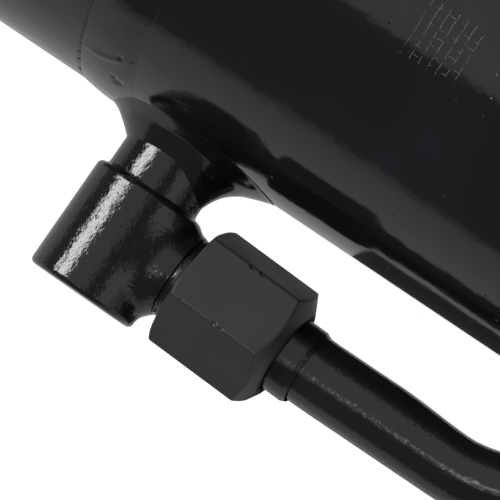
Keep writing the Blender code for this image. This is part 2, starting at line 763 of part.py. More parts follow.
def nipple_frame(name, turn, parent=None):
    """Frame of a grease nipple: +X points out of the eye's rim."""
    outwards = Vector((math.cos(turn), math.sin(turn), 0.0))
    return add_frame(name, EYE_R * outwards, (0.0, 0.0, turn), parent)


def base_nipple_frame():
    """The base eye's nipple frame, made the first time that it is asked for."""
    return bpy.data.objects.get("base_nipple_frame") or nipple_frame(
        "base_nipple_frame", math.radians(225.0)
    )


def nipple_hole(name, frame):
    """Helper: the grease passage from an eye's rim through to the bush."""
    reach = EYE_R - BUSH_R + 4.0 * MM
    passage = rod_shape(name, -reach, 5 * MM, 1.5 * MM, "black_paint", 8, "X", parent=frame)
    seat = (name + "_seat", -6.0 * MM, 5 * MM, NIPPLE_R + GAP)
    return boolean(passage, rod_shape(*seat, "black_paint", SMALL, "X", parent=frame), "UNION")


def grease_nipple(name, frame):
    """Straight grease nipple: threaded shank, hexagon and ball-ended head."""
    outline = [
        (-5.4 * MM, 0.0),
        (-5.4 * MM, NIPPLE_R),
        (3.0 * MM, NIPPLE_R),
        (5.6 * MM, 2.4 * MM),
        (8.0 * MM, 2.4 * MM),
        (9.6 * MM, 3.3 * MM),
        (11.0 * MM, 3.3 * MM),
        (12.6 * MM, 1.8 * MM),
        (12.6 * MM, 0.0),
    ]
    nipple = turned(name, outline, "zinc_plate", SMALL, "X", parent=frame)
    hexagon = (name + "_hexagon", 0.6 * MM, 5.0 * MM, 5.2 * MM)
    boolean(nipple, rod_shape(*hexagon, "zinc_plate", 6, "X", parent=frame), "UNION")


# ---------------------------------------------------------------- rod and piston


def piston_rod():
    """Chromed rod: threaded tail and spigot for the piston, full-diameter shank, stepped weld end."""
    shoulder_x = PISTON_X + PISTON_LENGTH + GAP
    end_x = ROD_EYE_X - 66.0 * MM
    outline = [
        (PISTON_NUT_X + 0.5 * MM, 0.0),
        (PISTON_NUT_X + 0.5 * MM, TAIL_R - 1.5 * MM),
        (PISTON_NUT_X + 2.0 * MM, TAIL_R),
        (shoulder_x, TAIL_R),
        (shoulder_x, ROD_R - 1.0 * MM),
        (shoulder_x + 1.0 * MM, ROD_R),
        (end_x - 5.0 * MM, ROD_R),
        (end_x, ROD_R - 5.0 * MM),
        (end_x, 0.0),
    ]
    turned("piston_rod", outline, "hard_chrome")


def piston():
    """Piston with two guide-ring grooves, a seal groove between them and an O-ring groove in its bore."""
    face_r = BORE_R - 0.7 * MM
    bore = TAIL_R + GAP
    outline = [(0.0, face_r - 1.5 * MM), (1.5 * MM, face_r)]
    for start, end, radius in (
        (4.0 * MM, 14.0 * MM, 47.0 * MM),
        (20.0 * MM, 30.0 * MM, 42.0 * MM),
        (36.0 * MM, 46.0 * MM, 47.0 * MM),
    ):
        outline += [(start, face_r), (start, radius), (end, radius), (end, face_r)]
    outline += [
        (PISTON_LENGTH - 1.5 * MM, face_r),
        (PISTON_LENGTH, face_r - 1.5 * MM),
        (PISTON_LENGTH, bore),
        (28.0 * MM, bore),
        (28.0 * MM, 22.8 * MM),
        (23.0 * MM, 22.8 * MM),
        (23.0 * MM, bore),
        (0.0, bore),
    ]
    place = (PISTON_X, 0.0, 0.0)
    turned("piston", outline, "machined_steel", RING, place=place)
    ring("piston_o_ring", 23.4 * MM, 27.6 * MM, bore, 22.4 * MM, "nitrile_rubber", place=place)
    slide_r = BORE_R - GAP
    for side, start in (("rear", 4.0 * MM), ("front", 36.0 * MM)):
        ends = (start + GAP, start + 10 * MM - GAP)
        ring("piston_guide_ring_" + side, *ends, 47.7 * MM, slide_r, "filled_ptfe", place=place)
    ring("piston_seal", 20.3 * MM, 29.7 * MM, 46.8 * MM, slide_r, "filled_ptfe", place=place)
    ring("piston_seal_energizer", 21.5 * MM, 28.5 * MM, 42.6 * MM, 46.2 * MM, "nitrile_rubber", place=place)


def piston_nut():
    """Locknut that holds the piston on the rod's tail, and the set screw in one of its flats."""
    flats = 62.0 * MM
    end_x = PISTON_X - GAP
    nut = prism("piston_nut", hex_outline(flats), PISTON_NUT_X, end_x, "machined_steel")
    boolean(nut, chamfer_tool("piston_nut_chamfer", PISTON_NUT_X, end_x, flats), "INTERSECT")
    beyond = 15.0 * MM
    bore = ("piston_nut_bore", PISTON_NUT_X - beyond, end_x + beyond, TAIL_R + GAP)
    boolean(nut, rod_shape(*bore, "machined_steel"))
    middle = (PISTON_NUT_X + 13.0 * MM, 0.0, 0.0)
    screw_r = 3.0 * MM
    hole = ("piston_nut_screw_hole", TAIL_R - 5 * MM, 40 * MM, screw_r + GAP)
    boolean(nut, rod_shape(*hole, "machined_steel", SMALL, "Z", middle))
    screw = ("piston_nut_set_screw", TAIL_R + GAP, flats / 2 - 0.5 * MM, screw_r)
    rod_shape(*screw, "machined_steel", SMALL, "Z", middle)


def rod_eye():
    """Forged rod eye: eye, round shank with a bevelled weld end, bush, seals and nipple."""
    frame = add_frame("rod_eye_frame", (ROD_EYE_X, 0.0, 0.0))
    shank = [
        (-65.5 * MM, 0.0),
        (-65.5 * MM, ROD_R - 5.0 * MM),
        (-60.5 * MM, ROD_R),
        (-48.0 * MM, 34.0 * MM),
        (-5.0 * MM, 34.0 * MM),
        (-5.0 * MM, 0.0),
    ]
    blank = ("rod_eye", -EYE_HALF_WIDTH, EYE_HALF_WIDTH, EYE_R)
    eye = rod_shape(*blank, "black_paint", ROUND, "Z", parent=frame)
    boolean(eye, turned("rod_eye_shank", shank, "black_paint", parent=frame), "UNION")
    nipple = nipple_frame("rod_nipple_frame", math.radians(-45.0), frame)
    boolean(eye, nipple_hole("rod_nipple_hole", nipple))
    boolean(eye, eye_hole("rod_eye_hole", frame))
    grease_nipple("rod_grease_nipple", nipple)
    eye_lining("rod", frame)
    weld_x = ROD_EYE_X - 65.75 * MM
    weld = [
        (weld_x - 0.5 * MM, ROD_R - 4.3 * MM),
        (weld_x + 0.5 * MM, ROD_R - 4.3 * MM),
        (weld_x + 4.9 * MM, ROD_R + 0.5 * MM),
        (weld_x + 2.4 * MM, ROD_R + 1.6 * MM),
        (weld_x - 2.4 * MM, ROD_R + 1.6 * MM),
        (weld_x - 4.9 * MM, ROD_R + 0.5 * MM),
    ]
    turned("rod_eye_weld", weld, "black_paint")


def main():
    for leftover in list(bpy.data.objects):
        bpy.data.objects.remove(leftover)
    base_port = port_frame("base_port", BASE_PORT_X, math.pi / 2, BASE_PORT_LEAN)
    base_arm = arm_frame("base_arm", base_port, BASE_ARM_LEAN)
    gland_port = port_frame("gland_port", GLAND_PORT_X, GLAND_PORT_CLOCK)
    gland_arm = arm_frame("gland_arm", gland_port)
    envelope = barrel_envelope()

    barrel_tube([base_port, gland_port])
    base_cap()
    base_weld()
    eye_lining("base")
    grease_nipple("base_grease_nipple", base_nipple_frame())

    crown_clearance = rod_shape(
        "base_weld_envelope",
        WELD_X - WELD_HALF_WIDTH - 2 * MM,
        WELD_X + WELD_HALF_WIDTH + GAP,
        BARREL_R + WELD_CROWN + GAP,
        "black_paint",
    )
    port_elbow("base_port_elbow", base_port, base_arm, envelope)
    port_weld("base_port_weld", base_port, envelope, [crown_clearance])
    port_elbow("gland_port_elbow", gland_port, gland_arm, envelope)
    port_weld("gland_port_weld", gland_port, envelope)

    tube_nut("base_tube_nut", SEAT, 1.0, base_arm)
    tube_sleeve("base_tube_sleeve", SEAT, 1.0, base_arm)
    transfer_tube()
    run_place = (0.0, -(BARREL_R + RUN_HEIGHT), 0.0)
    union_seat_x = BRACKET_X - 8.0 * MM
    tube_nut("union_tube_nut", union_seat_x, -1.0, place=run_place)
    tube_sleeve("union_tube_sleeve", union_seat_x, -1.0, place=run_place)
    hose_union()
    union_bracket(envelope)
    tube_clamp(envelope)

    gland()
    gland_seals()
    gland_lock_screw()

    piston_rod()
    piston()
    piston_nut()
    rod_eye()


main()
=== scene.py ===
"""Finished surfaces, materials, studio light and camera for the hydraulic cylinder.

Frame: the origin is the centre of the base eye's pin hole, +X runs along the cylinder towards the rod
eye, +Z runs along both pin holes, and the base port points to -Y. Lengths are in metres, except inside
the field functions of the forged pieces, which work in millimetres.
"""

import math

import bmesh
import bpy
import numpy as np
from mathutils import Matrix, Vector, noise


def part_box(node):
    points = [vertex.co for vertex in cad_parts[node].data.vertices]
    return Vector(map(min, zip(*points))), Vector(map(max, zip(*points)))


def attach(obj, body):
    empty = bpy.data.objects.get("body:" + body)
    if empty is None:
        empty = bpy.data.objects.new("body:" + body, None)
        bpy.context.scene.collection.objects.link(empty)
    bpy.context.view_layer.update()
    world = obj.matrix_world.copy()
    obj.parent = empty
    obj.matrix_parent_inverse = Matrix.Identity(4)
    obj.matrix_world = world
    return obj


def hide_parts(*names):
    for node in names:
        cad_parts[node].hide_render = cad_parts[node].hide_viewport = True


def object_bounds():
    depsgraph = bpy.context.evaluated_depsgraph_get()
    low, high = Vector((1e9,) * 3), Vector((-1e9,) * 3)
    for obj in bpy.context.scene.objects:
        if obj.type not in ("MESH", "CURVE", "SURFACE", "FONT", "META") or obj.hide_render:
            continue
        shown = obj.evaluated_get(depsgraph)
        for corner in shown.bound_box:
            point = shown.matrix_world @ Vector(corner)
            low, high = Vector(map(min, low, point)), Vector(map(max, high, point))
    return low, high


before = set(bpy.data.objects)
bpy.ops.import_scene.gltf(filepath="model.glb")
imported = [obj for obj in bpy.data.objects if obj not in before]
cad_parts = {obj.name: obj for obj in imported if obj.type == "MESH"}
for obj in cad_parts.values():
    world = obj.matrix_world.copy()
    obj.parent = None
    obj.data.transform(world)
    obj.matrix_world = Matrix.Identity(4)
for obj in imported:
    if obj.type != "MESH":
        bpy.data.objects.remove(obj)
cad_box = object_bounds()

INCH = 0.0254
MM = 0.001

# Driving dimensions, as in the CAD model
BARREL_R = 4.5 * INCH / 2
ROD_R = 2.25 * INCH / 2
BUSH_R = 2.375 * INCH / 2
EYE_R = 50.0 * MM
EYE_HALF_WIDTH = 2.75 * INCH / 2
TUBE_R = 0.625 * INCH / 2
TUBE_WALL = 1.65 * MM
NUT_FLATS = 26.5 * MM
NUT_LENGTH = 26.0 * MM
NUT_BACK_R = 10.2 * MM
BASE_PORT_X = 116.0 * MM
GLAND_X = 594.0 * MM
GLAND_PORT_X = GLAND_X + 14.0 * MM
LOCK_SCREW_X = GLAND_X + 70.0 * MM
PISTON_NUT_X = 108.0 * MM
ROD_EYE_X = GLAND_X + 190.0 * MM
CLAMP_X = 340.0 * MM
BRACKET_X = 556.0 * MM
ARM_HEIGHT = 23.2 * MM
SEAT = 18.1 * MM
BASE_PORT_LEAN = math.radians(0.5)
BASE_ARM_LEAN = math.radians(2.0)
GLAND_PORT_CLOCK = math.radians(45.0)
HEX_TURN = math.radians(15.4)
TUBE_PLAY = math.radians(0.6)  # the tube lies this much lower in its nut than square
RUN_HEIGHT = 17.6 * MM
STRAIGHT_END = 32.2 * MM
DROP_X = BASE_PORT_X + 85.5 * MM
EASE_R = 100.0 * MM
BEND_R = 40.0 * MM
BEND_ANGLE = math.radians(15.0)

CHAMFER_SLOPE = math.tan(math.radians(30.0))
CHAMFER_SCALE = math.cos(math.radians(30.0))  # turns that slope's distance into a true one
ROUND = 192  # sides of large round pieces
FINE = 96  # sides of fittings and seals


# ---------------------------------------------------------------- mesh helpers


def add_object(name, data, place=None):
    """An object with that data, in the row frame or under the matrix place."""
    made = bpy.data.objects.new(name, data)
    bpy.context.scene.collection.objects.link(made)
    if place is not None:
        made.matrix_world = place
    return made


def add_mesh(name, points, faces, place=None):
    """An object with a mesh of those points and faces."""
    mesh = bpy.data.meshes.new(name)
    mesh.from_pydata([tuple(point) for point in points], [], [tuple(face) for face in faces])
    mesh.validate()
    return add_object(name, mesh, place)


def shade(made, sharp=40.0, weighted=True):
    """Smooth shading with sharp edges above the angle; weighted keeps flat faces flat by rounded edges."""
    mesh = made.data
    mesh.shade_smooth()
    mesh.set_sharp_from_angle(angle=math.radians(sharp))
    if weighted:
        modifier = made.modifiers.new("flat_faces", "WEIGHTED_NORMAL")
        modifier.keep_sharp = True
    return made


def lofted(name, loops, place=None, closed=True):
    """A skin over loops of points. closed joins the last loop to the first, or else each end gets a cap."""
    loops = np.asarray(loops)
    count, around = loops.shape[:2]
    faces = []
    for first in range(count if closed else count - 1):
        second = (first + 1) % count
        for side in range(around):
            after = (side + 1) % around
            here, there = first * around, second * around
            faces.append((here + side, here + after, there + after, there + side))
    if not closed:
        faces.append(tuple(reversed(range(around))))
        faces.append(tuple((count - 1) * around + side for side in range(around)))
    made = add_mesh(name, loops.reshape(-1, 3), faces, place)
    outward(made)
    return made


def outward(made):
    """Turns every face of the closed mesh outwards, and joins points that coincide."""
    shape = bmesh.new()
    shape.from_mesh(made.data)
    bmesh.ops.remove_doubles(shape, verts=shape.verts, dist=1e-6)
    bmesh.ops.recalc_face_normals(shape, faces=shape.faces)
    shape.to_mesh(made.data)
    shape.free()


def rounded(outline, corner, closed, steps=5):
    """The (station, radius) outline with each corner turned into an arc of at most that radius."""
    points = [Vector(point) for point in outline]
    count = len(points)
    result = []
    for number, point in enumerate(points):
        if not closed and number in (0, count - 1):
            result.append(point)
            continue
        before = points[number - 1] - point
        after = points[(number + 1) % count] - point
        angle = before.angle(after)
        if angle > math.radians(172.0) or point.y < 1e-6:
            result.append(point)
            continue
        setback = min(corner / math.tan(angle / 2), 0.42 * before.length, 0.42 * after.length)
        start = point + before.normalized() * setback
        end = point + after.normalized() * setback
        for step in range(steps + 1):
            share = step / steps
            result.append(start.lerp(point, share).lerp(point.lerp(end, share), share))
    return result


def spun(name, outline, sides=ROUND, axis="X", place=None, corner=0.4 * MM, closed=True):
    """A turned piece from a (station, radius) outline, open if it starts and ends on the axis."""
    shape = bmesh.new()
    corners = []
    for station, radius in rounded(outline, corner, closed):
        corners.append(shape.verts.new((station, 0.0, radius) if axis == "X" else (radius, 0.0, station)))
    pairs = list(zip(corners, corners[1:]))
    if closed:
        pairs.append((corners[-1], corners[0]))
    edges = [shape.edges.new(pair) for pair in pairs]
    about = (1.0, 0.0, 0.0) if axis == "X" else (0.0, 0.0, 1.0)
    bmesh.ops.spin(
        shape,
        geom=corners + edges,
        cent=(0.0, 0.0, 0.0),
        axis=about,
        angle=2.0 * math.pi,
        steps=sides,
        use_merge=True,
    )
    bmesh.ops.remove_doubles(shape, verts=shape.verts, dist=1e-6)
    bmesh.ops.recalc_face_normals(shape, faces=shape.faces)
    mesh = bpy.data.meshes.new(name)
    shape.to_mesh(mesh)
    shape.free()
    return add_object(name, mesh, place)


def profile_of(node, towards, axis, place):
    """The (station, radius) outline of a turned CAD node, read from its mesh in the half plane towards."""
    along = Vector((1.0, 0.0, 0.0)) if axis == "X" else Vector((0.0, 0.0, 1.0))
    towards = Vector(towards)
    shape = bmesh.new()
    shape.from_mesh(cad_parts[node].data)
    shape.transform(place.inverted())
    bmesh.ops.remove_doubles(shape, verts=shape.verts, dist=2e-6)
    everything = shape.verts[:] + shape.edges[:] + shape.faces[:]
    normal = along.cross(towards)
    origin = (0.0, 0.0, 0.0)
    cut = bmesh.ops.bisect_plane(shape, geom=everything, dist=3e-6, plane_co=origin, plane_no=normal)
    links = {}
    for edge in cut["geom_cut"]:
        if not isinstance(edge, bmesh.types.BMEdge):
            continue
        ends = [end.co.copy() for end in edge.verts]
        if sum(end.dot(towards) for end in ends) < 4e-5:
            continue
        keys = [(round(end.dot(along), 5), round(abs(end.dot(towards)), 5)) for end in ends]
        if keys[0] != keys[1]:
            links.setdefault(keys[0], set()).add(keys[1])
            links.setdefault(keys[1], set()).add(keys[0])
    shape.free()
    ends = sorted(key for key, joined in links.items() if len(joined) == 1)
    path = [ends[0] if ends else min(links)]
    while True:
        onward = [key for key in sorted(links[path[-1]]) if key not in path]
        if not onward:
            break
        path.append(onward[0])
    return straightened(path, not ends), not ends


def straightened(path, closed):
    """The outline without points that lie on the straight line between their neighbours."""
    kept = []
    for number, point in enumerate(path):
        if closed or 0 < number < len(path) - 1:
            before = Vector(path[number - 1]) - Vector(point)
            after = Vector(path[(number + 1) % len(path)]) - Vector(point)
            if before.angle(after) > math.radians(179.0):
                continue
        kept.append(point)
    return kept


def returned(name, node, towards=(0.0, 1.0, 0.0), axis="X", place=None, sides=FINE, corner=0.3 * MM):
    """A fine turned piece with the outline and the place of a turned CAD node."""
    place = place or Matrix.Identity(4)
    outline, closed = profile_of(node, towards, axis, place)
    return spun(name, outline, sides, axis, place, corner, closed)


def boolean(made, tool, operation="DIFFERENCE"):
    """Cuts the tool from the piece or joins it to the piece, and drops the tool."""
    modifier = made.modifiers.new(tool.name, "BOOLEAN")
    modifier.operation = operation
    modifier.solver = "EXACT"
    modifier.object = tool
    bpy.context.view_layer.update()
    graph = bpy.context.evaluated_depsgraph_get()
    result = bpy.data.meshes.new_from_object(made.evaluated_get(graph))
    made.modifiers.clear()
    old = made.data
    made.data = result
    bpy.data.meshes.remove(old)
    bpy.data.objects.remove(tool)
    return made


def bevelled(made, width, segments=3, angle=30.0):
    """Rounds the piece's hard edges."""
    modifier = made.modifiers.new("rounded_edges", "BEVEL")
    modifier.width = width
    modifier.segments = segments
    modifier.limit_method = "ANGLE"
    modifier.angle_limit = math.radians(angle)
    modifier.use_clamp_overlap = True
    return made


# ---------------------------------------------------------------- fields of forged pieces, in millimetres


def capped(along, across, start, end, radius, edge):
    """Distance to a solid cylinder between two stations, with rounded edges."""
    beyond = np.abs(along - (start + end) / 2) - ((end - start) / 2 - edge)
    outside = across - (radius - edge)
    inner = np.minimum(np.maximum(beyond, outside), 0.0)
    return inner + np.hypot(np.maximum(beyond, 0.0), np.maximum(outside, 0.0)) - edge


def join(first, second, fillet):
    """Union of two distances with a fillet of about that size."""
    share = np.clip(0.5 + 0.5 * (second - first) / fillet, 0.0, 1.0)
    return second + (first - second) * share - fillet * share * (1.0 - share)


def both(first, second, edge):
    """What two distances share, with a rounded edge of about that size."""
    return -join(-first, -second, edge)


def chamfered(body, beyond, across, radius, edge):
    """The body cut by a 30 degree cone, which has that radius where beyond, the way past the face, is 0."""
    return both(body, (beyond + (across - radius) * CHAMFER_SLOPE) * CHAMFER_SCALE, edge)


def polygon_distance(along, across, outline):
    """Signed distance in the (station, radius) plane to a closed outline, negative inside it."""
    nearest = np.full(along.shape, np.inf)
    inside = np.zeros(along.shape, bool)
    for (x0, r0), (x1, r1) in zip(outline, outline[1:] + outline[:1]):
        dx, dr = x1 - x0, r1 - r0
        share = np.clip(((along - x0) * dx + (across - r0) * dr) / (dx * dx + dr * dr), 0.0, 1.0)
        nearest = np.minimum(nearest, np.hypot(along - x0 - share * dx, across - r0 - share * dr))
        if dr != 0.0:
            crosses = (r0 > across) != (r1 > across)
            inside ^= crosses & (along < x0 + (across - r0) * dx / dr)
    return np.where(inside, -nearest, nearest)


def slope_of(field, points, step):
    """Gradient of the field at the points."""
    columns = []
    for axis in range(3):
        shift = np.zeros(3)
        shift[axis] = step
        columns.append((field(points + shift) - field(points - shift)) / (2.0 * step))
    return np.stack(columns, axis=1)


def surface_of(name, field, low, high, cell, place=None):
    """Closed mesh of the surface where the field is zero: one point in each grid cell that it crosses."""
    low, high = np.array(low, float), np.array(high, float)
    counts = np.ceil((high - low) / cell).astype(int) + 1
    axes = [low[axis] + cell * np.arange(counts[axis]) for axis in range(3)]
    grid = np.stack(np.meshgrid(*axes, indexing="ij"), axis=-1).reshape(-1, 3)
    inside = np.concatenate([field(part) < 0.0 for part in np.array_split(grid, 8)]).reshape(counts)
    total = np.zeros(counts - 1, int)
    for corner in np.ndindex(2, 2, 2):
        total += inside[tuple(slice(c, c + n - 1) for c, n in zip(corner, counts))]
    crossed = (total > 0) & (total < 8)
    index = np.full(crossed.shape, -1)
    index[crossed] = np.arange(crossed.sum())
    centres = low + cell * (np.argwhere(crossed) + 0.5)
    points = centres.copy()
    for _ in range(5):
        slope = slope_of(field, points, 0.1 * cell)
        size = np.maximum((slope**2).sum(axis=1), 0.05)
        points -= 0.9 * (field(points) / size)[:, None] * slope
        points = np.clip(points, centres - 0.62 * cell, centres + 0.62 * cell)
    faces = []
    for axis in range(3):
        side, up = (axis + 1) % 3, (axis + 2) % 3
        here = np.moveaxis(inside, (axis, side, up), (0, 1, 2))
        cells = np.moveaxis(index, (axis, side, up), (0, 1, 2))
        start, end = here[:-1, 1:-1, 1:-1], here[1:, 1:-1, 1:-1]
        corners = np.stack(
            [cells[:, :-1, :-1], cells[:, 1:, :-1], cells[:, 1:, 1:], cells[:, :-1, 1:]], axis=-1
        )
        faces.append(corners[start & ~end])
        faces.append(corners[end & ~start][:, ::-1])
    made = add_mesh(name, points * MM, np.concatenate(faces).tolist(), place)
    made.data.shade_smooth()
    normals = slope_of(field, points, 0.02 * cell)
    normals /= np.maximum(np.linalg.norm(normals, axis=1), 1e-9)[:, None]
    if len(normals) == len(made.data.vertices):
        made.data.normals_split_custom_set_from_vertices([tuple(normal) for normal in normals])
    return made


# ---------------------------------------------------------------- node helpers


class Surface:
    """A material being built: its node tree and its Principled shader."""

    def __init__(self, name, colour, roughness, metallic=0.0):
        self.material = bpy.data.materials.new(name)
        self.material.use_nodes = True
        self.tree = self.material.node_tree
        self.shader = self.tree.nodes["Principled BSDF"]
        self.give("Base Color", (*colour, 1.0))
        self.give("Roughness", roughness)
        self.give("Metallic", metallic)
        self.place = self.node("ShaderNodeTexCoord").outputs["Object"]
        self.normal = None

    def node(self, kind, **settings):
        made = self.tree.nodes.new(kind)
        for key, value in settings.items():
            setattr(made, key, value)
        return made

    def feed(self, socket, value):
        """Links an output to the socket, or sets the socket's value."""
        if isinstance(value, bpy.types.NodeSocket):
            self.tree.links.new(value, socket)
        else:
            socket.default_value = value

    def noise(self, scale, detail=2.0, roughness=0.5, distortion=0.0, place=None):
        made = self.node("ShaderNodeTexNoise")
        self.feed(made.inputs["Vector"], place or self.place)
        self.feed(made.inputs["Scale"], scale)
        self.feed(made.inputs["Detail"], detail)
        self.feed(made.inputs["Roughness"], roughness)
        self.feed(made.inputs["Distortion"], distortion)
        return made.outputs["Fac"]

    def stretched(self, scale):
        """The object coordinates, scaled along each axis."""
        made = self.node("ShaderNodeMapping")
        self.feed(made.inputs["Vector"], self.place)
        self.feed(made.inputs["Scale"], scale)
        return made.outputs["Vector"]

    def cells(self, scale, feature="F1", place=None):
        made = self.node("ShaderNodeTexVoronoi", feature=feature)
        self.feed(made.inputs["Vector"], place or self.place)
        self.feed(made.inputs["Scale"], scale)
        return made.outputs["Distance"]

    def math(self, operation, first, second=0.0, third=0.0):
        made = self.node("ShaderNodeMath", operation=operation)
        for socket, value in zip(made.inputs, (first, second, third)):
            self.feed(socket, value)
        return made.outputs[0]

    def ramp(self, value, low, high, to_low=0.0, to_high=1.0):
        """The value mapped from one range to another, clamped."""
        made = self.node("ShaderNodeMapRange")
        sockets = ("Value", "From Min", "From Max", "To Min", "To Max")
        for key, given in zip(sockets, (value, low, high, to_low, to_high)):
            self.feed(made.inputs[key], given)
        return made.outputs["Result"]

    def colours(self, share, first, second):
        made = self.node("ShaderNodeMix", data_type="RGBA")
        self.feed(made.inputs["Factor"], share)
        self.feed(made.inputs[6], first if isinstance(first, bpy.types.NodeSocket) else (*first, 1.0))
        self.feed(made.inputs[7], second if isinstance(second, bpy.types.NodeSocket) else (*second, 1.0))
        return made.outputs[2]

    def bump(self, height, depth, strength=1.0):
        """Adds relief of that depth in metres to what is there already."""
        made = self.node("ShaderNodeBump")
        self.feed(made.inputs["Height"], height)
        self.feed(made.inputs["Distance"], depth)
        self.feed(made.inputs["Strength"], strength)
        if self.normal is not None:
            self.feed(made.inputs["Normal"], self.normal)
        self.normal = made.outputs["Normal"]

    def orange_peel(self, depth):
        """Sprayed paint's long waves and its shorter, 0.15 times as deep ripple."""
        self.bump(self.noise(130.0, 2.0), depth)
        self.bump(self.noise(620.0, 2.0), 0.15 * depth)

    def dust_nibs(self):
        self.bump(self.ramp(self.cells(210.0), 0.0, 0.10, 1.0, 0.0), 0.00006)

    def give(self, name, value):
        """Sets or links one of the shader's inputs."""
        self.feed(self.shader.inputs[name], value)

    def done(self):
        if self.normal is not None:
            self.give("Normal", self.normal)
        return self.material


# ---------------------------------------------------------------- materials

BLACK = (0.0075, 0.0076, 0.0082)
WORN_BLACK = (0.013, 0.013, 0.0135)
# Bluish black of the barrel's clouds: partly dust, partly painted reflection of a faint light.
DUST_AND_SHEEN_BLACK = (0.0115, 0.013, 0.0155)


def enamel(name, peel=1.0, grain=0.0, roughness=0.10):
    """Gloss black paint: orange peel, fine grain where it is sprayed thick, dust nibs and dull patches."""
    paint = Surface(name, BLACK, roughness)
    dull = paint.noise(28.0, 3.0)
    paint.give("Base Color", paint.colours(paint.ramp(dull, 0.45, 0.75), BLACK, WORN_BLACK))
    clouded = paint.ramp(dull, 0.35, 0.75, roughness * 0.8, roughness * 1.3)
    smeared = paint.ramp(paint.noise(160.0, 4.0, 0.6), 0.55, 0.8, 0.0, roughness * 0.5)
    paint.give("Roughness", paint.math("ADD", clouded, smeared))
    paint.orange_peel(0.00012 * peel)
    if grain:
        paint.bump(paint.noise(900.0, 3.0, 0.6), 0.00011 * grain)
    paint.dust_nibs()
    paint.give("IOR", 1.5)
    return paint.done()


def pale_hatch_patch(paint):
    """A patch of fine, broken pale lines running both ways on the barrel's paint beside the base port."""
    pitch_along, pitch_across, half_line = 2.1 * MM, 1.75 * MM, 0.065 * MM
    axes = paint.node("ShaderNodeSeparateXYZ")
    paint.feed(axes.inputs["Vector"], paint.place)
    along = paint.math("SUBTRACT", axes.outputs["X"], BASE_PORT_X + 43.4 * MM)
    across = paint.math("SUBTRACT", axes.outputs["Y"], -13.0 * MM)
    marks = None
    hatch_directions = ((along, across, pitch_along, 3.0, 0.44), (across, along, pitch_across, 7.0, 0.52))
    for value, other, pitch, seed, gaps in hatch_directions:
        wobble = paint.math("MULTIPLY", paint.math("SUBTRACT", paint.noise(350.0, 1.0), 0.5), 0.5 * MM)
        line = paint.math("PINGPONG", paint.math("ADD", value, wobble), 0.5 * pitch)
        line = paint.ramp(line, 0.4 * half_line, 1.3 * half_line, 1.0, 0.0)
        track = paint.math("FLOOR", paint.math("DIVIDE", paint.math("ADD", value, 0.5 * pitch), pitch))
        place = paint.node("ShaderNodeCombineXYZ")
        paint.feed(place.inputs["X"], paint.math("MULTIPLY", track, seed))
        paint.feed(place.inputs["Y"], paint.math("MULTIPLY", other, 420.0))
        broken = paint.ramp(paint.noise(1.0, 2.0, 0.6, 0.0, place.outputs["Vector"]), gaps, gaps + 0.08)
        line = paint.math("MULTIPLY", line, broken)
        marks = line if marks is None else paint.math("MAXIMUM", marks, line)
    for value in (along, across):
        within = paint.ramp(paint.math("ABSOLUTE", value), 6.2 * MM, 6.6 * MM, 1.0, 0.0)
        marks = paint.math("MULTIPLY", marks, within)
    return paint.math("MULTIPLY", marks, paint.math("GREATER_THAN", axes.outputs["Z"], 0.0))


def barrel_enamel():
    """The barrel's enamel, with the patch of pale hatch lines, and bluish clouds that are partly dust and
    partly painted reflection.
    """
    paint = Surface("gloss_black_barrel", BLACK, 0.10)
    marks = pale_hatch_patch(paint)
    # Bluish clouds over the barrel: partly dust, partly a painted reflection standing in for a faint light's
    # haze.
    dust_and_sheen = paint.ramp(paint.noise(28.0, 3.0), 0.45, 0.75)
    colour = paint.colours(dust_and_sheen, BLACK, DUST_AND_SHEEN_BLACK)
    # Pale broken hatch lines in the base colour, slightly rougher and pressed in.
    paint.give("Base Color", paint.colours(marks, colour, (0.17, 0.17, 0.15)))
    paint.give("Roughness", paint.math("MAXIMUM", paint.math("MULTIPLY", marks, 0.6), 0.10))
    paint.orange_peel(0.0001)
    paint.dust_nibs()
    paint.bump(marks, -0.00005)
    return paint.done()


def satin(name, colour=(0.022, 0.0225, 0.024)):
    """Satin black coat of the tube nuts: even and matt, with faint grain."""
    paint = Surface(name, colour, 0.42)
    cloud = paint.noise(120.0, 3.0)
    lighter = tuple(channel * 1.25 for channel in colour)
    paint.give("Base Color", paint.colours(paint.ramp(cloud, 0.35, 0.7), colour, lighter))
    paint.give("Roughness", paint.ramp(cloud, 0.3, 0.7, 0.38, 0.48))
    paint.bump(paint.noise(2600.0, 2.0), 0.000006)
    paint.bump(paint.noise(240.0, 2.0), 0.00003)
    return paint.done()


def metal(name, colour, roughness, lay="X", scratch=1.0):
    """Machined or plated metal: fine tool lines round the axis, and small differences in polish."""
    steel = Surface(name, colour, roughness, 1.0)
    lines = (9000.0, 40.0, 40.0) if lay == "X" else (40.0, 40.0, 9000.0)
    tooling = steel.noise(1.0, 3.0, 0.6, 0.0, steel.stretched(lines))
    polish = steel.noise(55.0, 4.0)
    steel.give("Roughness", steel.ramp(polish, 0.3, 0.7, roughness * 0.8, roughness * 1.35))
    tinted = tuple(channel * 0.86 for channel in colour)
    steel.give("Base Color", steel.colours(polish, colour, tinted))
    steel.bump(tooling, 0.000004 * scratch)
    return steel.done()


def rubber(name, colour, roughness):
    """Moulded rubber or plastic: fine moulded grain and a soft bloom."""
    soft = Surface(name, colour, roughness)
    bloom = soft.noise(90.0, 4.0)
    paler = tuple(min(1.0, channel * 1.3 + 0.004) for channel in colour)
    soft.give("Base Color", soft.colours(soft.ramp(bloom, 0.4, 0.75), colour, paler))
    soft.give("Roughness", soft.ramp(bloom, 0.3, 0.7, roughness * 0.9, roughness * 1.15))
    soft.bump(soft.noise(2200.0, 2.0), 0.000012)
    return soft.done()


# ---------------------------------------------------------------- frames and routes


def port_place(station, turn_x, lean=0.0):
    """Matrix of a port: origin on the barrel's surface, +Z outwards, +X towards the rod end."""
    outwards = Vector((0.0, -math.sin(turn_x), math.cos(turn_x)))
    move = Matrix.Translation(Vector((station, 0.0, 0.0)) + BARREL_R * outwards)
    return move @ Matrix.Rotation(-lean, 4, "Z") @ Matrix.Rotation(turn_x, 4, "X")


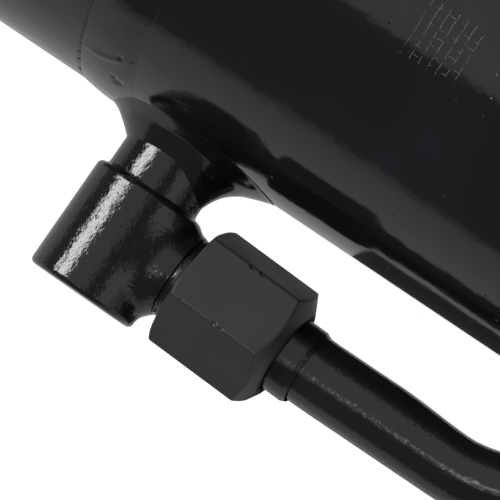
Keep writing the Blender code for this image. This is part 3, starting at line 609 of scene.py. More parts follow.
BASE_PORT = port_place(BASE_PORT_X, math.pi / 2, BASE_PORT_LEAN)
GLAND_PORT = port_place(GLAND_PORT_X, GLAND_PORT_CLOCK)
UNION_SEAT_X = BRACKET_X - 8.0 * MM
RUN_Y = -(BARREL_R + RUN_HEIGHT)
BASE_ARM = BASE_PORT @ Matrix.Translation((0.0, 0.0, ARM_HEIGHT)) @ Matrix.Rotation(-BASE_ARM_LEAN, 4, "Y")
BASE_SEAT = BASE_ARM @ Matrix.Translation((SEAT, 0.0, 0.0))
UNION_ARM = Matrix.Translation((UNION_SEAT_X, RUN_Y, 0.0)) @ Matrix.Rotation(math.pi, 4, "Z")


def bend(start, heading, turn, radius, steps):
    """Points and headings along a bend in the XY plane; a positive turn is anticlockwise seen from +Z."""
    side = math.copysign(1.0, turn)
    centre = start + radius * side * Vector((-math.sin(heading), math.cos(heading), 0.0))
    stations = []
    for step in range(steps + 1):
        now = heading + turn * step / steps
        offset = radius * side * Vector((math.sin(now), -math.cos(now), 0.0))
        stations.append((centre + offset, now))
    return stations


def flare():
    """The flared tube end as (distance past the seat plane, outer radius, inner radius)."""
    inner = TUBE_R - TUBE_WALL
    return [
        (16.9 * MM, 9.6 * MM, 8.8 * MM),
        (20.2 * MM, TUBE_R + 0.15 * MM, inner + 0.1 * MM),
        (20.9 * MM, TUBE_R, inner),
        (STRAIGHT_END, TUBE_R, inner),
    ]


def tube_route():
    """Stations (point, heading, outer radius, inner radius) from the base elbow to the hose union."""
    inner = TUBE_R - TUBE_WALL
    lean = -(BASE_PORT_LEAN + BASE_ARM_LEAN - TUBE_PLAY)
    along = Vector((math.cos(lean), math.sin(lean), 0.0))
    origin = BASE_ARM.translation
    stations = [(origin + (SEAT + past) * along, lean, outer, bore) for past, outer, bore in flare()]
    levelled = bend(origin + (SEAT + STRAIGHT_END + 0.5 * MM) * along, lean, -lean, EASE_R, 6)
    dropped = bend(Vector((DROP_X, levelled[-1][0].y, 0.0)), 0.0, BEND_ANGLE, BEND_R, 24)
    bend_rise = BEND_R * (1.0 - math.cos(BEND_ANGLE))
    slope_rise = RUN_Y - bend_rise - dropped[-1][0].y
    slope = Vector((slope_rise / math.tan(BEND_ANGLE), slope_rise, 0.0))
    run_start = bend(dropped[-1][0] + slope, BEND_ANGLE, -BEND_ANGLE, BEND_R, 24)
    stations += [(point, now, TUBE_R, inner) for point, now in levelled + dropped + run_start]
    for past, outer, bore in reversed(flare()):
        stations.append((Vector((UNION_SEAT_X - past, RUN_Y, 0.0)), 0.0, outer, bore))
    return stations


def flattening(station):
    """How far the bender's jaw pressed the tube's barrel side in, round the start of the bend."""
    before = (station - (DROP_X - 17.0 * MM)) / (18.0 * MM)
    after = (DROP_X + 24.0 * MM - station) / (23.0 * MM)
    share = min(1.0, max(0.0, min(before, after)))
    return 0.85 * MM * share * share * (3.0 - 2.0 * share)


def finely(stations, step=1.5 * MM):
    """The stations with more of them between those that stand far apart."""
    fine = [stations[0]]
    for first, second in zip(stations, stations[1:]):
        pieces = min(160, max(1, round((second[0] - first[0]).length / step)))
        for piece in range(1, pieces + 1):
            share = piece / pieces
            between = [first[part] + (second[part] - first[part]) * share for part in (1, 2, 3)]
            fine.append((first[0].lerp(second[0], share), *between))
    return fine


def transfer_tube():
    """Bent steel tube with an open bore and a flare at each end."""
    outer_loops = []
    inner_loops = []
    for point, heading, outer, inner in finely(tube_route()):
        across = Vector((-math.sin(heading), math.cos(heading), 0.0))
        pressed = flattening(point.x)
        for loops, radius in ((outer_loops, outer), (inner_loops, inner)):
            loop = []
            for angle in np.linspace(0.0, 2.0 * math.pi, FINE, endpoint=False):
                reach = radius - pressed * max(0.0, math.cos(angle)) ** 4
                upright = Vector((0.0, 0.0, math.sin(angle)))
                loop.append(point + reach * (math.cos(angle) * across + upright))
            loops.append(loop)
    made = lofted("steel_transfer_tube", outer_loops + inner_loops[::-1])
    return shade(made, 30.0)


# ---------------------------------------------------------------- elbows, nuts and their welds


def elbow_field(arm_lean):
    """Stem, round collar and side arm in one forging, with the stud's blank past the seat."""
    seat, height = SEAT / MM, ARM_HEIGHT / MM
    cosine, sine = math.cos(arm_lean), math.sin(arm_lean)

    def field(points):
        x, y, z = points.T
        across = np.hypot(x, y)
        stem = capped(z, across, -3.0, 16.0, 11.0, 0.5)
        collar = capped(z, across, 12.4, 39.0, 13.0, 1.3)
        x, rise = x * cosine + (z - height) * sine, (z - height) * cosine - x * sine
        beside = np.hypot(y, rise)
        arm = capped(x, beside, 0.0, seat, 9.75, 0.5)
        shoulder = capped(x, np.hypot(y, rise - 1.2), 6.0, seat - 3.0, 9.6, 1.5)
        forging = join(join(stem, collar, 0.8), join(arm, shoulder, 1.5), 3.4)
        stud = capped(x, beside, seat - 0.1, seat + 18.7, 9.6, 0.4)
        nose = (x - seat - 18.7) * 0.6 + (beside - 6.8) * 0.8
        forging = np.minimum(forging, both(stud, nose, 0.4))
        groove = capped(x, -beside, seat - 2.4, seat - 1.7, -9.35, 0.1)
        forging = -np.minimum(-forging, np.maximum(groove, 12.0 - x))
        passage = np.maximum(beside - 5.5, 6.0 - x)
        return both(forging, -passage, 0.4)

    return field


def port_elbow(name, place, arm_lean):
    """Fine elbow forging at its port."""
    return surface_of(name, elbow_field(arm_lean), (-14, -14, -4), (38, 14, 40.5), 0.45, place)


def stud_thread(name, place, start, end):
    """Helical thread rolled on a flare stud, with a lead-in chamfer at its nose. The axis is local X."""
    pitch = INCH / 14
    crest = 11.1 * MM
    depth = 1.1 * MM
    loops = []
    for station in np.arange(start, end + 1e-9, pitch / 12):
        loop = []
        for angle in np.linspace(0.0, 2.0 * math.pi, FINE, endpoint=False):
            phase = (station / pitch - angle / (2.0 * math.pi)) % 1.0
            flank = min(1.0, max(0.0, (abs(phase - 0.5) * 2.0 - 0.12) / 0.76))
            lead_in = max(0.0, station - (end - 1.3 * MM)) * 1.1 + max(0.0, start + 0.8 * MM - station)
            radius = max(crest - depth * (1.0 - flank) - 0.2 * MM - lead_in, 9.3 * MM)
            loop.append((station, radius * math.cos(angle), radius * math.sin(angle)))
        loops.append(loop)
    return shade(lofted(name, loops, place, closed=False), 60.0, weighted=False)


def hex_field(y, z, flats, turn, edge):
    """Distance to a hexagonal prism, from its width across flats, with rounded long edges."""
    sides = []
    for side in range(3):
        angle = turn + math.pi / 6 + side * math.pi / 3
        sides.append(np.abs(y * math.cos(angle) + z * math.sin(angle)) - flats / 2)
    return both(both(sides[0], sides[1], edge), sides[2], edge)


def tube_nut_field(dents):
    """Hexagon tube nut: short chamfer at the elbow, long one at the tube, dents in its long edges."""
    flats, length, back_r = NUT_FLATS / MM, NUT_LENGTH / MM, NUT_BACK_R / MM
    corner_r = flats / 2 / math.cos(math.pi / 6)

    def field(points):
        x, y, z = points.T
        across = np.hypot(y, z)
        body = hex_field(y, z, flats, HEX_TURN, 0.4)
        body = chamfered(body, x - length, across, back_r, 0.35)
        body = chamfered(body, -x, across, flats / 2 * 1.04, 0.35)
        body = both(body, np.maximum(-x, x - length), 0.3)
        bore = np.where(x < 19.9, 11.2, np.clip(11.2 - (x - 19.9), 9.1, 11.2))
        body = both(body, bore - across, 0.3)
        for corner, station, out, size in dents:
            angle = HEX_TURN + corner * math.pi / 3
            middle = (corner_r + out) * np.array([math.cos(angle), math.sin(angle)])
            dent = np.sqrt((x - station) ** 2 + (y - middle[0]) ** 2 + (z - middle[1]) ** 2) - size
            body = both(body, -dent, 0.25)
        return body

    return field


def tube_nut(name, place, dents):
    """Fine tube nut; the local X axis runs from the elbow's seat towards the tube."""
    return surface_of(name, tube_nut_field(dents), (-0.8, -16.0, -16.0), (27.4, 16.0, 16.0), 0.3, place)


def sleeve_outline():
    """Section of a flare sleeve from the seat: head behind the flare, and tail that shows past the nut."""
    outer = [(17.9, 10.2), (17.9, 10.7), (19.8, 10.7), (21.7, 8.8), (30.5, 8.8), (31.6, 8.3)]
    inner_r = TUBE_R / MM + 0.3
    return [(station * MM, radius * MM) for station, radius in outer + [(31.6, inner_r), (20.5, inner_r)]]


def fillet_weld(name, place, shapes, seed):
    """Fillet weld round a stem. shapes: (toe radius, leg, flare, hollow) to its rear, front and sides."""
    rear, ahead, beside = np.array(shapes)
    root = 10.4
    steps = 44
    loops = []
    for angle in np.linspace(0.0, 2.0 * math.pi, 288, endpoint=False):
        front = max(0.0, math.cos(angle)) ** 2
        back = max(0.0, -math.cos(angle)) ** 2
        toe, leg, flared, hollow = beside + (ahead - beside) * front + (rear - beside) * back
        wander = noise.noise(Vector((1.6 * math.cos(angle), 1.6 * math.sin(angle), seed)))
        toe += 0.4 * wander
        second_toe = 0.5 + 0.06 * wander
        loop = []
        for step in range(steps + 1):
            share = (step / steps) ** 1.3
            radius = (root + (toe - root) * share) * MM
            height = flared * (1.0 - share) ** 8 + leg * (1.0 - share) ** hollow
            height += 0.12 * math.sin(math.pi * min(1.0, share / second_toe))
            height += 0.16 * math.sin(math.pi * max(0.0, share - second_toe) / (1.0 - second_toe))
            x, y = radius * math.cos(angle), radius * math.sin(angle)
            uneven = noise.noise(Vector((x * 260.0, y * 260.0, seed)))
            height += 0.07 * uneven * math.sin(math.pi * share) ** 0.5 - 0.05 * share
            loop.append((x, y, math.sqrt(BARREL_R**2 - y * y) - BARREL_R + height * MM))
        for radius in (toe * MM, root * MM):
            x, y = radius * math.cos(angle), radius * math.sin(angle)
            loop.append((x, y, math.sqrt(BARREL_R**2 - y * y) - BARREL_R - 1.2 * MM))
        loops.append(loop)
    return shade(lofted(name, loops, place), 60.0, weighted=False)


def ring_weld(name, rear, front, surface_r, crown, seed, stop_angle, peak=0.35, pits=()):
    """Girth weld round the axis, with one stop where it closed. peak is how far across it is highest."""
    loops = []
    across = 36
    for angle in np.linspace(0.0, 2.0 * math.pi, 720, endpoint=False):
        around = Vector((2.4 * math.cos(angle), 2.4 * math.sin(angle), seed))
        rear_toe = rear + 0.5 * MM * noise.noise(around)
        front_toe = front + 0.9 * MM * noise.noise(around + Vector((9.0, 0.0, 0.0)))
        off = (angle - stop_angle + math.pi) % (2.0 * math.pi) - math.pi
        loop = []
        for step in range(across + 1):
            share = step / across
            rise = share / peak if share < peak else (1.0 - share) / (1.0 - peak)
            height = crown * math.sin(0.5 * math.pi * rise) ** (0.9 if share < peak else 1.3)
            station = rear_toe + (front_toe - rear_toe) * share
            uneven = noise.noise(Vector((station * 200.0, 9.0 * math.cos(angle), 9.0 * math.sin(angle))))
            height += 0.07 * MM * uneven * rise**0.5
            arc = off * surface_r / MM - 7.0 * share * share
            stop = 0.22 * math.exp(-((arc / 0.9) ** 2)) - 0.1 * rise * (0.0 < arc < 60.0)
            height += stop * MM * rise**0.5
            for pit_x, pit_angle, size in pits:
                away = math.hypot(station - pit_x, (angle - pit_angle) * surface_r) / size
                height -= 0.3 * MM * math.exp(-(away**4))
            radius = surface_r + height - 0.04 * MM
            loop.append((station, -radius * math.cos(angle), radius * math.sin(angle)))
        for station in (front_toe, rear_toe):
            inner = surface_r - 1.5 * MM
            loop.append((station, -inner * math.cos(angle), inner * math.sin(angle)))
        loops.append(loop)
    return shade(lofted(name, loops), 60.0, weighted=False)


def bracket_weld(name, face, away):
    """Concave fillet weld in the corner between the bracket and the barrel, with rounded ends."""
    leg = 2.8 * MM
    half_angle = math.asin(20.0 * MM / BARREL_R)
    loops = []
    for angle in np.linspace(-half_angle, half_angle, 90):
        ends = max(0.05, 1.0 - (abs(angle) / half_angle) ** 10)
        bead = 1.0 + 0.05 * noise.noise(Vector((face * 400.0, angle * 40.0, away)))
        size = leg * ends**0.5 * bead
        loop = [(0.0, 1.0)]
        for step in range(9):
            turn = 0.5 * math.pi * step / 8
            loop.append((1.0 - math.cos(turn) ** 0.9 * 0.97, 1.0 - math.sin(turn) ** 0.9 * 0.97))
        points = [(0.0, -0.3)] + [(across * 0.98, up * 0.98) for across, up in loop] + [(1.0, -0.3)]
        loops.append(
            [
                (
                    face + away * across * size,
                    -(BARREL_R + up * size) * math.cos(angle),
                    (BARREL_R + up * size) * math.sin(angle),
                )
                for across, up in points
            ]
        )
    return shade(lofted(name, loops, closed=False), 60.0, weighted=False)


# ---------------------------------------------------------------- barrel, cap, rod eye


def cap_field(points):
    """Base cap forging: full-diameter disc, web and eye, with the weld bevel and the spigot."""
    x, y, z = points.T
    disc = polygon_distance(
        x,
        np.hypot(y, z),
        [(62.0, -20.0), (62.0, 54.6), (64.6, 57.15), (90.0, 57.15), (96.0, 51.0), (97.0, 50.5),
         (106.0, 50.5), (107.5, 49.3), (107.5, -20.0)],
    )
    eye = capped(z, np.hypot(x, y), -34.925, 34.925, 50.0, 2.2)
    web = np.maximum(np.abs(x - 34.0) - 34.0, both(np.abs(y) - 44.0, np.abs(z) - 31.9, 5.0))
    forging = join(join(eye, web, 4.0), disc, 9.0)
    limit = np.maximum(np.hypot(y, z) - 57.15, np.where(x < 0.0, np.hypot(x, y) - 50.0, -57.15))
    return both(forging, limit, 0.6)


def eye_cutters(name, centre_x):
    """The bore of an eye with its chamfered mouths."""
    reach = EYE_HALF_WIDTH
    bore = BUSH_R + 0.1 * MM
    mouth = 1.0 * MM
    outline = [
        (-reach - 5 * MM, 0.0),
        (-reach - 5 * MM, bore + mouth + 5 * MM),
        (-reach + mouth, bore),
        (reach - mouth, bore),
        (reach + 5 * MM, bore + mouth + 5 * MM),
        (reach + 5 * MM, 0.0),
    ]
    return spun(name, outline, ROUND, "Z", Matrix.Translation((centre_x, 0.0, 0.0)), 0.0, False)


def base_cap():
    """Fine base cap, bored for its bush."""
    made = surface_of("forged_base_cap", cap_field, (-52, -59, -59), (109, 59, 59), 1.3)
    return boolean(made, eye_cutters("base_eye_bore", 0.0))


def rod_eye_field(points):
    """Rod eye forging: eye and round shank, with the weld bevel."""
    x, y, z = points.T
    across = np.hypot(y, z)
    shank = polygon_distance(
        x,
        across,
        [(-65.5, -20.0), (-65.5, 23.6), (-60.5, 28.575), (-48.0, 34.0), (-5.0, 34.0), (-5.0, -20.0)],
    )
    eye = capped(z, np.hypot(x, y), -34.925, 34.925, 50.0, 2.2)
    return join(shank, eye, 7.0)


def rod_eye():
    """Fine rod eye at the end of the rod."""
    place = Matrix.Translation((ROD_EYE_X, 0.0, 0.0))
    made = surface_of("forged_rod_eye", rod_eye_field, (-67, -52, -37), (52, 52, 37), 1.2, place)
    return boolean(made, eye_cutters("rod_eye_bore", ROD_EYE_X))


# ---------------------------------------------------------------- union, bracket, clamp and nipples


def box_field(x, y, z, low, high, edge):
    """Distance to a block between two corners, with rounded edges."""
    gaps = []
    for value, start, end in zip((x, y, z), low, high):
        gaps.append(np.abs(value - (start + end) / 2) - ((end - start) / 2 - edge))
    outside = np.sqrt(sum(np.maximum(gap, 0.0) ** 2 for gap in gaps))
    return outside + np.minimum(np.maximum(np.maximum(gaps[0], gaps[1]), gaps[2]), 0.0) - edge


def union_field(points):
    """Bulkhead union: hexagon and a flare stud each way, bored right through. x is from the bracket."""
    x, y, z = points.T
    across = np.hypot(y, z)
    hexagon = both(hex_field(y, z, 27.0, math.pi / 6, 0.5), np.abs(x + 3.95) - 3.65, 0.4)
    hexagon = chamfered(hexagon, -7.6 - x, across, 13.8, 0.3)
    stud = capped(x, across, -27.0, 34.7, 9.6, 0.3)
    plain = capped(x, across, -1.0, 15.0, 10.9, 0.3)
    nose = (np.abs(x - 4.0) - 30.7) * 0.6 + (across - 6.8) * 0.8
    body = np.minimum(hexagon, np.minimum(plain, both(stud, nose, 0.4)))
    return both(body, 5.5 - across, 0.4)


def locknut_field(points):
    """Bulkhead locknut: thin hexagon chamfered on both faces."""
    x, y, z = points.T
    across = np.hypot(y, z)
    body = both(hex_field(y, z, 28.4, math.pi / 6, 0.5), np.abs(x - 4.0) - 4.0, 0.3)
    body = chamfered(body, np.abs(x - 4.0) - 4.0, across, 14.6, 0.3)
    return both(body, 11.2 - across, 0.3)


def bracket_field(points):
    """Bracket plate on the barrel, with two clipped corners and the union's hole. x is from its face."""
    x, y, z = points.T
    run_y = RUN_Y / MM
    inner, shoulder, top = -50.0, run_y - 8.0, run_y - 20.0
    outline = [(inner, -20.0), (inner, 20.0), (shoulder, 20.0), (top, 9.0), (top, -9.0), (shoulder, -20.0)]
    plate = both(polygon_distance(y, z, outline), np.abs(x - 3.0) - 3.0, 0.9)
    plate = both(plate, 11.2 - np.hypot(y - run_y, z), 0.4)
    return both(plate, 57.3 - np.hypot(y, z), 0.3)


def clamp_fields():
    """The clamp's layers as (CAD node, field). x runs along the tube, z outwards from the barrel."""
    run = RUN_HEIGHT / MM

    def bolts(x, y):
        return np.hypot(x, np.abs(y) - 14.5) - 3.3

    def saddle(points):
        x, y, z = points.T
        plate = box_field(x, y, z, (-15, -21, -8), (15, 21, 5), 1.0)
        return both(plate, 57.3 - np.hypot(y, z + 57.15), 0.3)

    def half(low, high):
        def field(points):
            x, y, z = points.T
            block = box_field(x, y, z, (-15, -21, low), (15, 21, high), 1.2)
            middle = (low + high) / 2
            rib = np.maximum(np.abs(z - middle) - 1.6, 19.9 - np.abs(y))
            centred = (np.abs(x) - 15.0, np.abs(y) - 14.5, z - middle)
            pocket = box_field(*centred, (-1.0, -3.6, -3.0), (1.0, 3.6, 3.0), 0.5)
            block = both(both(block, -rib, 0.4), -pocket, 0.4)
            return both(both(block, TUBE_R / MM + 0.25 - np.hypot(y, z - run), 0.5), -bolts(x, y), 0.3)

        return field

    def cover(points):
        x, y, z = points.T
        plate = box_field(x, y, z, (-15, -21, 30.3), (15, 21, 33.3), 0.6)
        corners = both(np.abs(x) - 15.0, np.abs(y) - 21.0, 5.0)
        return both(both(plate, corners, 0.5), -bolts(x, y), 0.2)

    return (
        ("clamp_saddle_plate", saddle),
        ("clamp_inner_half", half(5.3, run - 0.3)),
        ("clamp_outer_half", half(run + 0.3, 30.0)),
        ("clamp_cover_plate", cover),
    )


def bolt_field(points):
    """Hexagon bolt of the clamp: washer face, chamfered head and shank, along z."""
    x, y, z = points.T
    across = np.hypot(x, y)
    head = both(hex_field(x, y, 10.0, 0.0, 0.3), np.abs(z - 35.8) - 1.8, 0.25)
    head = chamfered(head, z - 37.6, across, 4.9, 0.3)
    washer = capped(z, across, 33.6, 34.2, 4.9, 0.1)
    return np.minimum(np.minimum(head, washer), capped(z, across, 0.0, 34.5, 3.0, 0.3))


def nipple_field(points):
    """Grease nipple: shank, chamfered hexagon, waisted neck and ball head with its feed hole, along x."""
    x, y, z = points.T
    across = np.hypot(y, z)
    outline = [(-5.4, -5.0), (-5.4, 3.0), (3.0, 3.0), (5.6, 2.4), (8.0, 2.2)]
    outline += [(9.4, 3.2), (10.8, 3.3), (12.6, 1.8), (12.6, -5.0)]
    turned = polygon_distance(x, across, outline)
    hexagon = both(hex_field(y, z, 9.0, 0.0, 0.25), np.abs(x - 2.8) - 2.2, 0.25)
    hexagon = chamfered(hexagon, np.abs(x - 2.8) - 2.2, across, 4.6, 0.2)
    hole = np.maximum(across - 0.6, 11.4 - x)
    return both(np.minimum(turned, hexagon), -hole, 0.2)


def piston_nut_field(points):
    """Locknut of the piston: large hexagon chamfered on both faces, with a cross hole for its set screw."""
    x, y, z = points.T
    across = np.hypot(y, z)
    body = both(hex_field(y, z, 62.0, 0.0, 0.8), np.abs(x - 13.85) - 13.85, 0.5)
    body = chamfered(body, np.abs(x - 13.85) - 13.85, across, 32.2, 0.5)
    body = both(body, 19.35 - across, 0.4)
    return both(body, -np.maximum(np.hypot(x - 13.0, y) - 3.3, -z), 0.2)


# ---------------------------------------------------------------- assembly


def finish_piece(made, body, slot, material, *replaced):
    """Gives the piece its material and its body, and hides the CAD nodes that it stands for: those replaced,
    or else the node named slot.
    """
    made.data.materials.clear()
    made.data.materials.append(material)
    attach(made, body)
    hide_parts(*(replaced or (slot,)))
    return made


CHROME = (0.80, 0.81, 0.82)
STEEL = (0.52, 0.53, 0.54)
ZINC = (0.66, 0.66, 0.61)
BRONZE = (0.55, 0.38, 0.18)
NITRILE = (0.022, 0.022, 0.022)
URETHANE = (0.09, 0.19, 0.42)
FILLED_PTFE = (0.26, 0.17, 0.10)
NYLON = (0.035, 0.035, 0.038)


def build_barrel():
    barrel = returned("barrel", "barrel_tube", sides=ROUND, corner=0.5 * MM)
    finish_piece(shade(barrel), "barrel", "barrel_tube", barrel_enamel())
    finish_piece(base_cap(), "barrel", "base_cap", enamel("gloss_black_cap", 1.3, 0.3))
    pits = (  # station, angle round the axis, radius
        (BASE_PORT_X - 15.7 * MM, math.radians(18.4), 1.1 * MM),
        (BASE_PORT_X - 16.8 * MM, math.radians(19.8), 0.7 * MM),
        (BASE_PORT_X - 16.0 * MM, math.radians(28.2), 0.8 * MM),
    )
    toes = (BASE_PORT_X - 25.8 * MM, BASE_PORT_X - 12.0 * MM)
    weld = ring_weld("girth_weld", *toes, BARREL_R, 0.7 * MM, 3.0, 0.42, 0.55, pits)
    finish_piece(weld, "barrel", "base_weld", enamel("gloss_black_weld", 1.0))


def build_ports():
    base_weld = ((21.0, 5.8, 0.4, 1.7), (23.5, 6.0, 5.5, 1.5), (17.7, 5.4, 1.0, 1.65))
    gland_weld = ((20.3, 5.6, 0.4, 1.7), (20.8, 5.8, 1.4, 1.6), (17.9, 5.4, 0.8, 1.65))
    ports = (  # end, place, the arm's lean, the weld's shapes and its seed
        ("base", BASE_PORT, BASE_ARM_LEAN, base_weld, 1.0),
        ("gland", GLAND_PORT, 0.0, gland_weld, 8.0),
    )
    for end, place, arm_lean, shapes, seed in ports:
        elbow = port_elbow(f"forged_{end}_elbow", place, arm_lean)
        paint = enamel(f"gloss_black_{end}_elbow", 1.3, 1.15, 0.08)
        finish_piece(elbow, "barrel", f"{end}_port_elbow", paint)
        weld = fillet_weld(f"{end}_fillet_weld", place, shapes, seed)
        finish_piece(weld, "barrel", f"{end}_port_weld", enamel(f"gloss_black_{end}_port_weld", 1.0, 0.1))
    stud = GLAND_PORT @ Matrix.Translation((0.0, 0.0, ARM_HEIGHT))
    thread = stud_thread("gland_stud_thread", stud, SEAT + 1.4 * MM, SEAT + 14.3 * MM)
    thread.data.materials.append(metal("phosphated_thread", (0.10, 0.10, 0.105), 0.45))
    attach(thread, "barrel")


def build_transfer_line():
    dents = [(0, 12.0, 0.25, 0.75), (0, 13.9, 0.3, 0.7), (0, 3.5, 0.35, 0.6)]
    dents += [(5, 10.8, 0.25, 0.8), (5, 13.4, 0.2, 0.7)]
    to_port = Matrix.Translation((-SEAT, 0.0, 0.0))
    ends = (  # end, place, dents in the nut
        ("base", BASE_SEAT, dents),
        ("union", UNION_ARM, [(0, 15.0, 0.3, 0.7), (4, 7.0, 0.35, 0.7)]),
    )
    for end, place, marks in ends:
        nut = tube_nut(f"satin_{end}_nut", place, marks)
        finish_piece(nut, "barrel", f"{end}_tube_nut", satin(f"satin_black_{end}_nut"))
        play = Matrix.Rotation(0.5 * TUBE_PLAY if end == "base" else 0.0, 4, "Y")
        at_sleeve = place @ to_port @ play @ to_port.inverted()
        sleeve = spun(f"{end}_flare_sleeve", sleeve_outline(), FINE, "X", at_sleeve, 0.35 * MM)
        paint = enamel(f"gloss_black_{end}_sleeve", 1.0, 0.6, 0.2)
        finish_piece(shade(sleeve), "barrel", f"{end}_tube_sleeve", paint)
    finish_piece(transfer_tube(), "barrel", "transfer_tube", enamel("gloss_black_tube", 1.0, 0.7))


def build_bulkhead():
    place = Matrix.Translation((BRACKET_X, RUN_Y, 0.0))
    union = surface_of("bulkhead_union", union_field, (-28, -16, -16), (36, 16, 16), 0.5, place)
    finish_piece(union, "barrel", "hose_union", metal("zinc_union", ZINC, 0.28))
    thread = stud_thread("union_stud_thread", place, 14.4 * MM, 30.3 * MM)
    thread.data.materials.append(metal("zinc_thread", ZINC, 0.3))
    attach(thread, "barrel")
    at_locknut = place @ Matrix.Translation((6.3 * MM, 0.0, 0.0))
    locknut = surface_of("bulkhead_locknut", locknut_field, (-1, -17, -17), (9, 17, 17), 0.4, at_locknut)
    finish_piece(locknut, "barrel", "union_locknut", metal("zinc_locknut", ZINC, 0.3))
    at_bracket = Matrix.Translation((BRACKET_X, 0.0, 0.0))
    plate = surface_of("bracket_plate", bracket_field, (-1, -96, -21), (7, -50, 21), 0.6, at_bracket)
    finish_piece(plate, "barrel", "union_bracket", enamel("gloss_black_bracket", 1.0, 0.3))
    for side, face, away in (("rear", BRACKET_X, -1.0), ("front", BRACKET_X + 6 * MM, 1.0)):
        weld = bracket_weld(f"bracket_fillet_{side}", face, away)
        paint = enamel(f"gloss_black_bracket_weld_{side}")
        finish_piece(weld, "barrel", f"union_bracket_weld_{side}", paint)


def build_clamp():
    place = Matrix.Translation((CLAMP_X, -BARREL_R, 0.0)) @ Matrix.Rotation(math.pi / 2, 4, "X")
    finishes = {
        "clamp_saddle_plate": lambda: enamel("gloss_black_saddle", 1.0, 0.3),
        "clamp_inner_half": lambda: rubber("moulded_inner_half", NYLON, 0.5),
        "clamp_outer_half": lambda: rubber("moulded_outer_half", NYLON, 0.5),
        "clamp_cover_plate": lambda: metal("zinc_cover_plate", ZINC, 0.3),
    }
    for node, field in clamp_fields():
        low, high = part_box(node)
        heights = (-(BARREL_R + high.y) / MM - 2.5, -(BARREL_R + low.y) / MM + 1.0)
        layer = surface_of("fine_" + node, field, (-16, -22, heights[0]), (16, 22, heights[1]), 0.55, place)
        finish_piece(layer, "barrel", node, finishes[node]())
    for side, y in (("top", 14.5 * MM), ("bottom", -14.5 * MM)):
        at_bolt = place @ Matrix.Translation((0.0, y, 0.0))
        bolt = surface_of(f"hexagon_bolt_{side}", bolt_field, (-7, -7, -1), (7, 7, 38.5), 0.35, at_bolt)
        finish_piece(bolt, "barrel", f"clamp_bolt_{side}", metal(f"zinc_bolt_{side}", ZINC, 0.3, "Z"))


def notched_gland():
    """Gland with its six spanner notches."""
    made = returned("screwed_gland", "gland", sides=ROUND, corner=0.6 * MM)
    for notch in range(6):
        angle = 2.0 * math.pi * (notch + 0.5) / 6
        block = bmesh.new()
        bmesh.ops.create_cube(block, size=1.0)
        bmesh.ops.scale(block, vec=(26 * MM, 10 * MM, 9 * MM), verts=block.verts)
        bmesh.ops.translate(block, vec=(GLAND_X + 107 * MM, 0.0, BARREL_R + 0.5 * MM), verts=block.verts)
        mesh = bpy.data.meshes.new(f"notch_{notch}")
        block.transform(Matrix.Rotation(angle, 4, "X"))
        block.to_mesh(mesh)
        block.free()
        boolean(made, add_object(f"notch_{notch}", mesh))
    return shade(bevelled(made, 0.4 * MM, 2, 40.0))


def build_gland():
    finish_piece(notched_gland(), "barrel", "gland", enamel("gloss_black_gland", 1.0, 0.2))
    rings = (  # node, corner radius, material
        ("rear_guide_ring", 0.4 * MM, rubber("filled_ptfe_rear_guide", FILLED_PTFE, 0.5)),
        ("front_guide_ring", 0.4 * MM, rubber("filled_ptfe_front_guide", FILLED_PTFE, 0.5)),
        ("buffer_seal", 0.6 * MM, rubber("filled_ptfe_buffer", FILLED_PTFE, 0.45)),
        ("rod_seal", 0.6 * MM, rubber("urethane_rod_seal", URETHANE, 0.4)),
        ("rod_wiper", 0.4 * MM, rubber("urethane_wiper", URETHANE, 0.42)),
        ("gland_o_ring", 2.1 * MM, rubber("nitrile_gland_o_ring", NITRILE, 0.5)),
        ("gland_backup_ring", 0.3 * MM, rubber("filled_ptfe_backup", FILLED_PTFE, 0.5)),
    )
    for node, corner, material in rings:
        finish_piece(shade(returned("fine_" + node, node, corner=corner)), "barrel", node, material)
    at_screw = Matrix.Translation((LOCK_SCREW_X, 0.0, 0.0))
    low, high, radius = 51.8 * MM, BARREL_R - 0.5 * MM, 4.0 * MM
    tip = 0.8 * MM
    outline = [(low, 0.0), (low, radius - tip), (low + tip, radius), (high, radius), (high, 0.0)]
    screw = spun("socket_set_screw", outline, 48, "Z", at_screw, 0.3 * MM, False)
    socket_outline = [(53.7 * MM, 0.0), (53.7 * MM, 2.3 * MM), (60.0 * MM, 2.3 * MM), (60.0 * MM, 0.0)]
    boolean(screw, spun("socket", socket_outline, 6, "Z", at_screw, 0.0, False))
    finish_piece(shade(screw), "barrel", "gland_lock_screw", metal("steel_lock_screw", STEEL, 0.35, "Z"))


def build_eye_fittings(end, centre_x, body, nipple_turn):
    """Bush, dust seals and grease nipple of an eye."""
    place = Matrix.Translation((centre_x, 0.0, 0.0))
    towards = (1.0, 0.0, 0.0)
    bush = returned(f"pressed_{end}_bush", f"{end}_eye_bush", towards, "Z", place, ROUND, 0.8 * MM)
    finish_piece(shade(bush), body, f"{end}_eye_bush", metal(f"bronze_{end}_bush", BRONZE, 0.36, "Z"))
    for side in ("top", "bottom"):
        node = f"{end}_eye_seal_{side}"
        seal = returned("fine_" + node, node, towards, "Z", place, ROUND, 0.9 * MM)
        finish_piece(shade(seal), body, node, rubber("nitrile_" + node, NITRILE, 0.5))
    outwards = Vector((math.cos(nipple_turn), math.sin(nipple_turn), 0.0))
    at_nipple = place @ Matrix.Translation(EYE_R * outwards) @ Matrix.Rotation(nipple_turn, 4, "Z")
    nipple = surface_of(f"{end}_nipple", nipple_field, (-6, -6, -6), (13.2, 6, 6), 0.28, at_nipple)
    finish_piece(nipple, body, f"{end}_grease_nipple", metal(f"zinc_{end}_nipple", ZINC, 0.28))


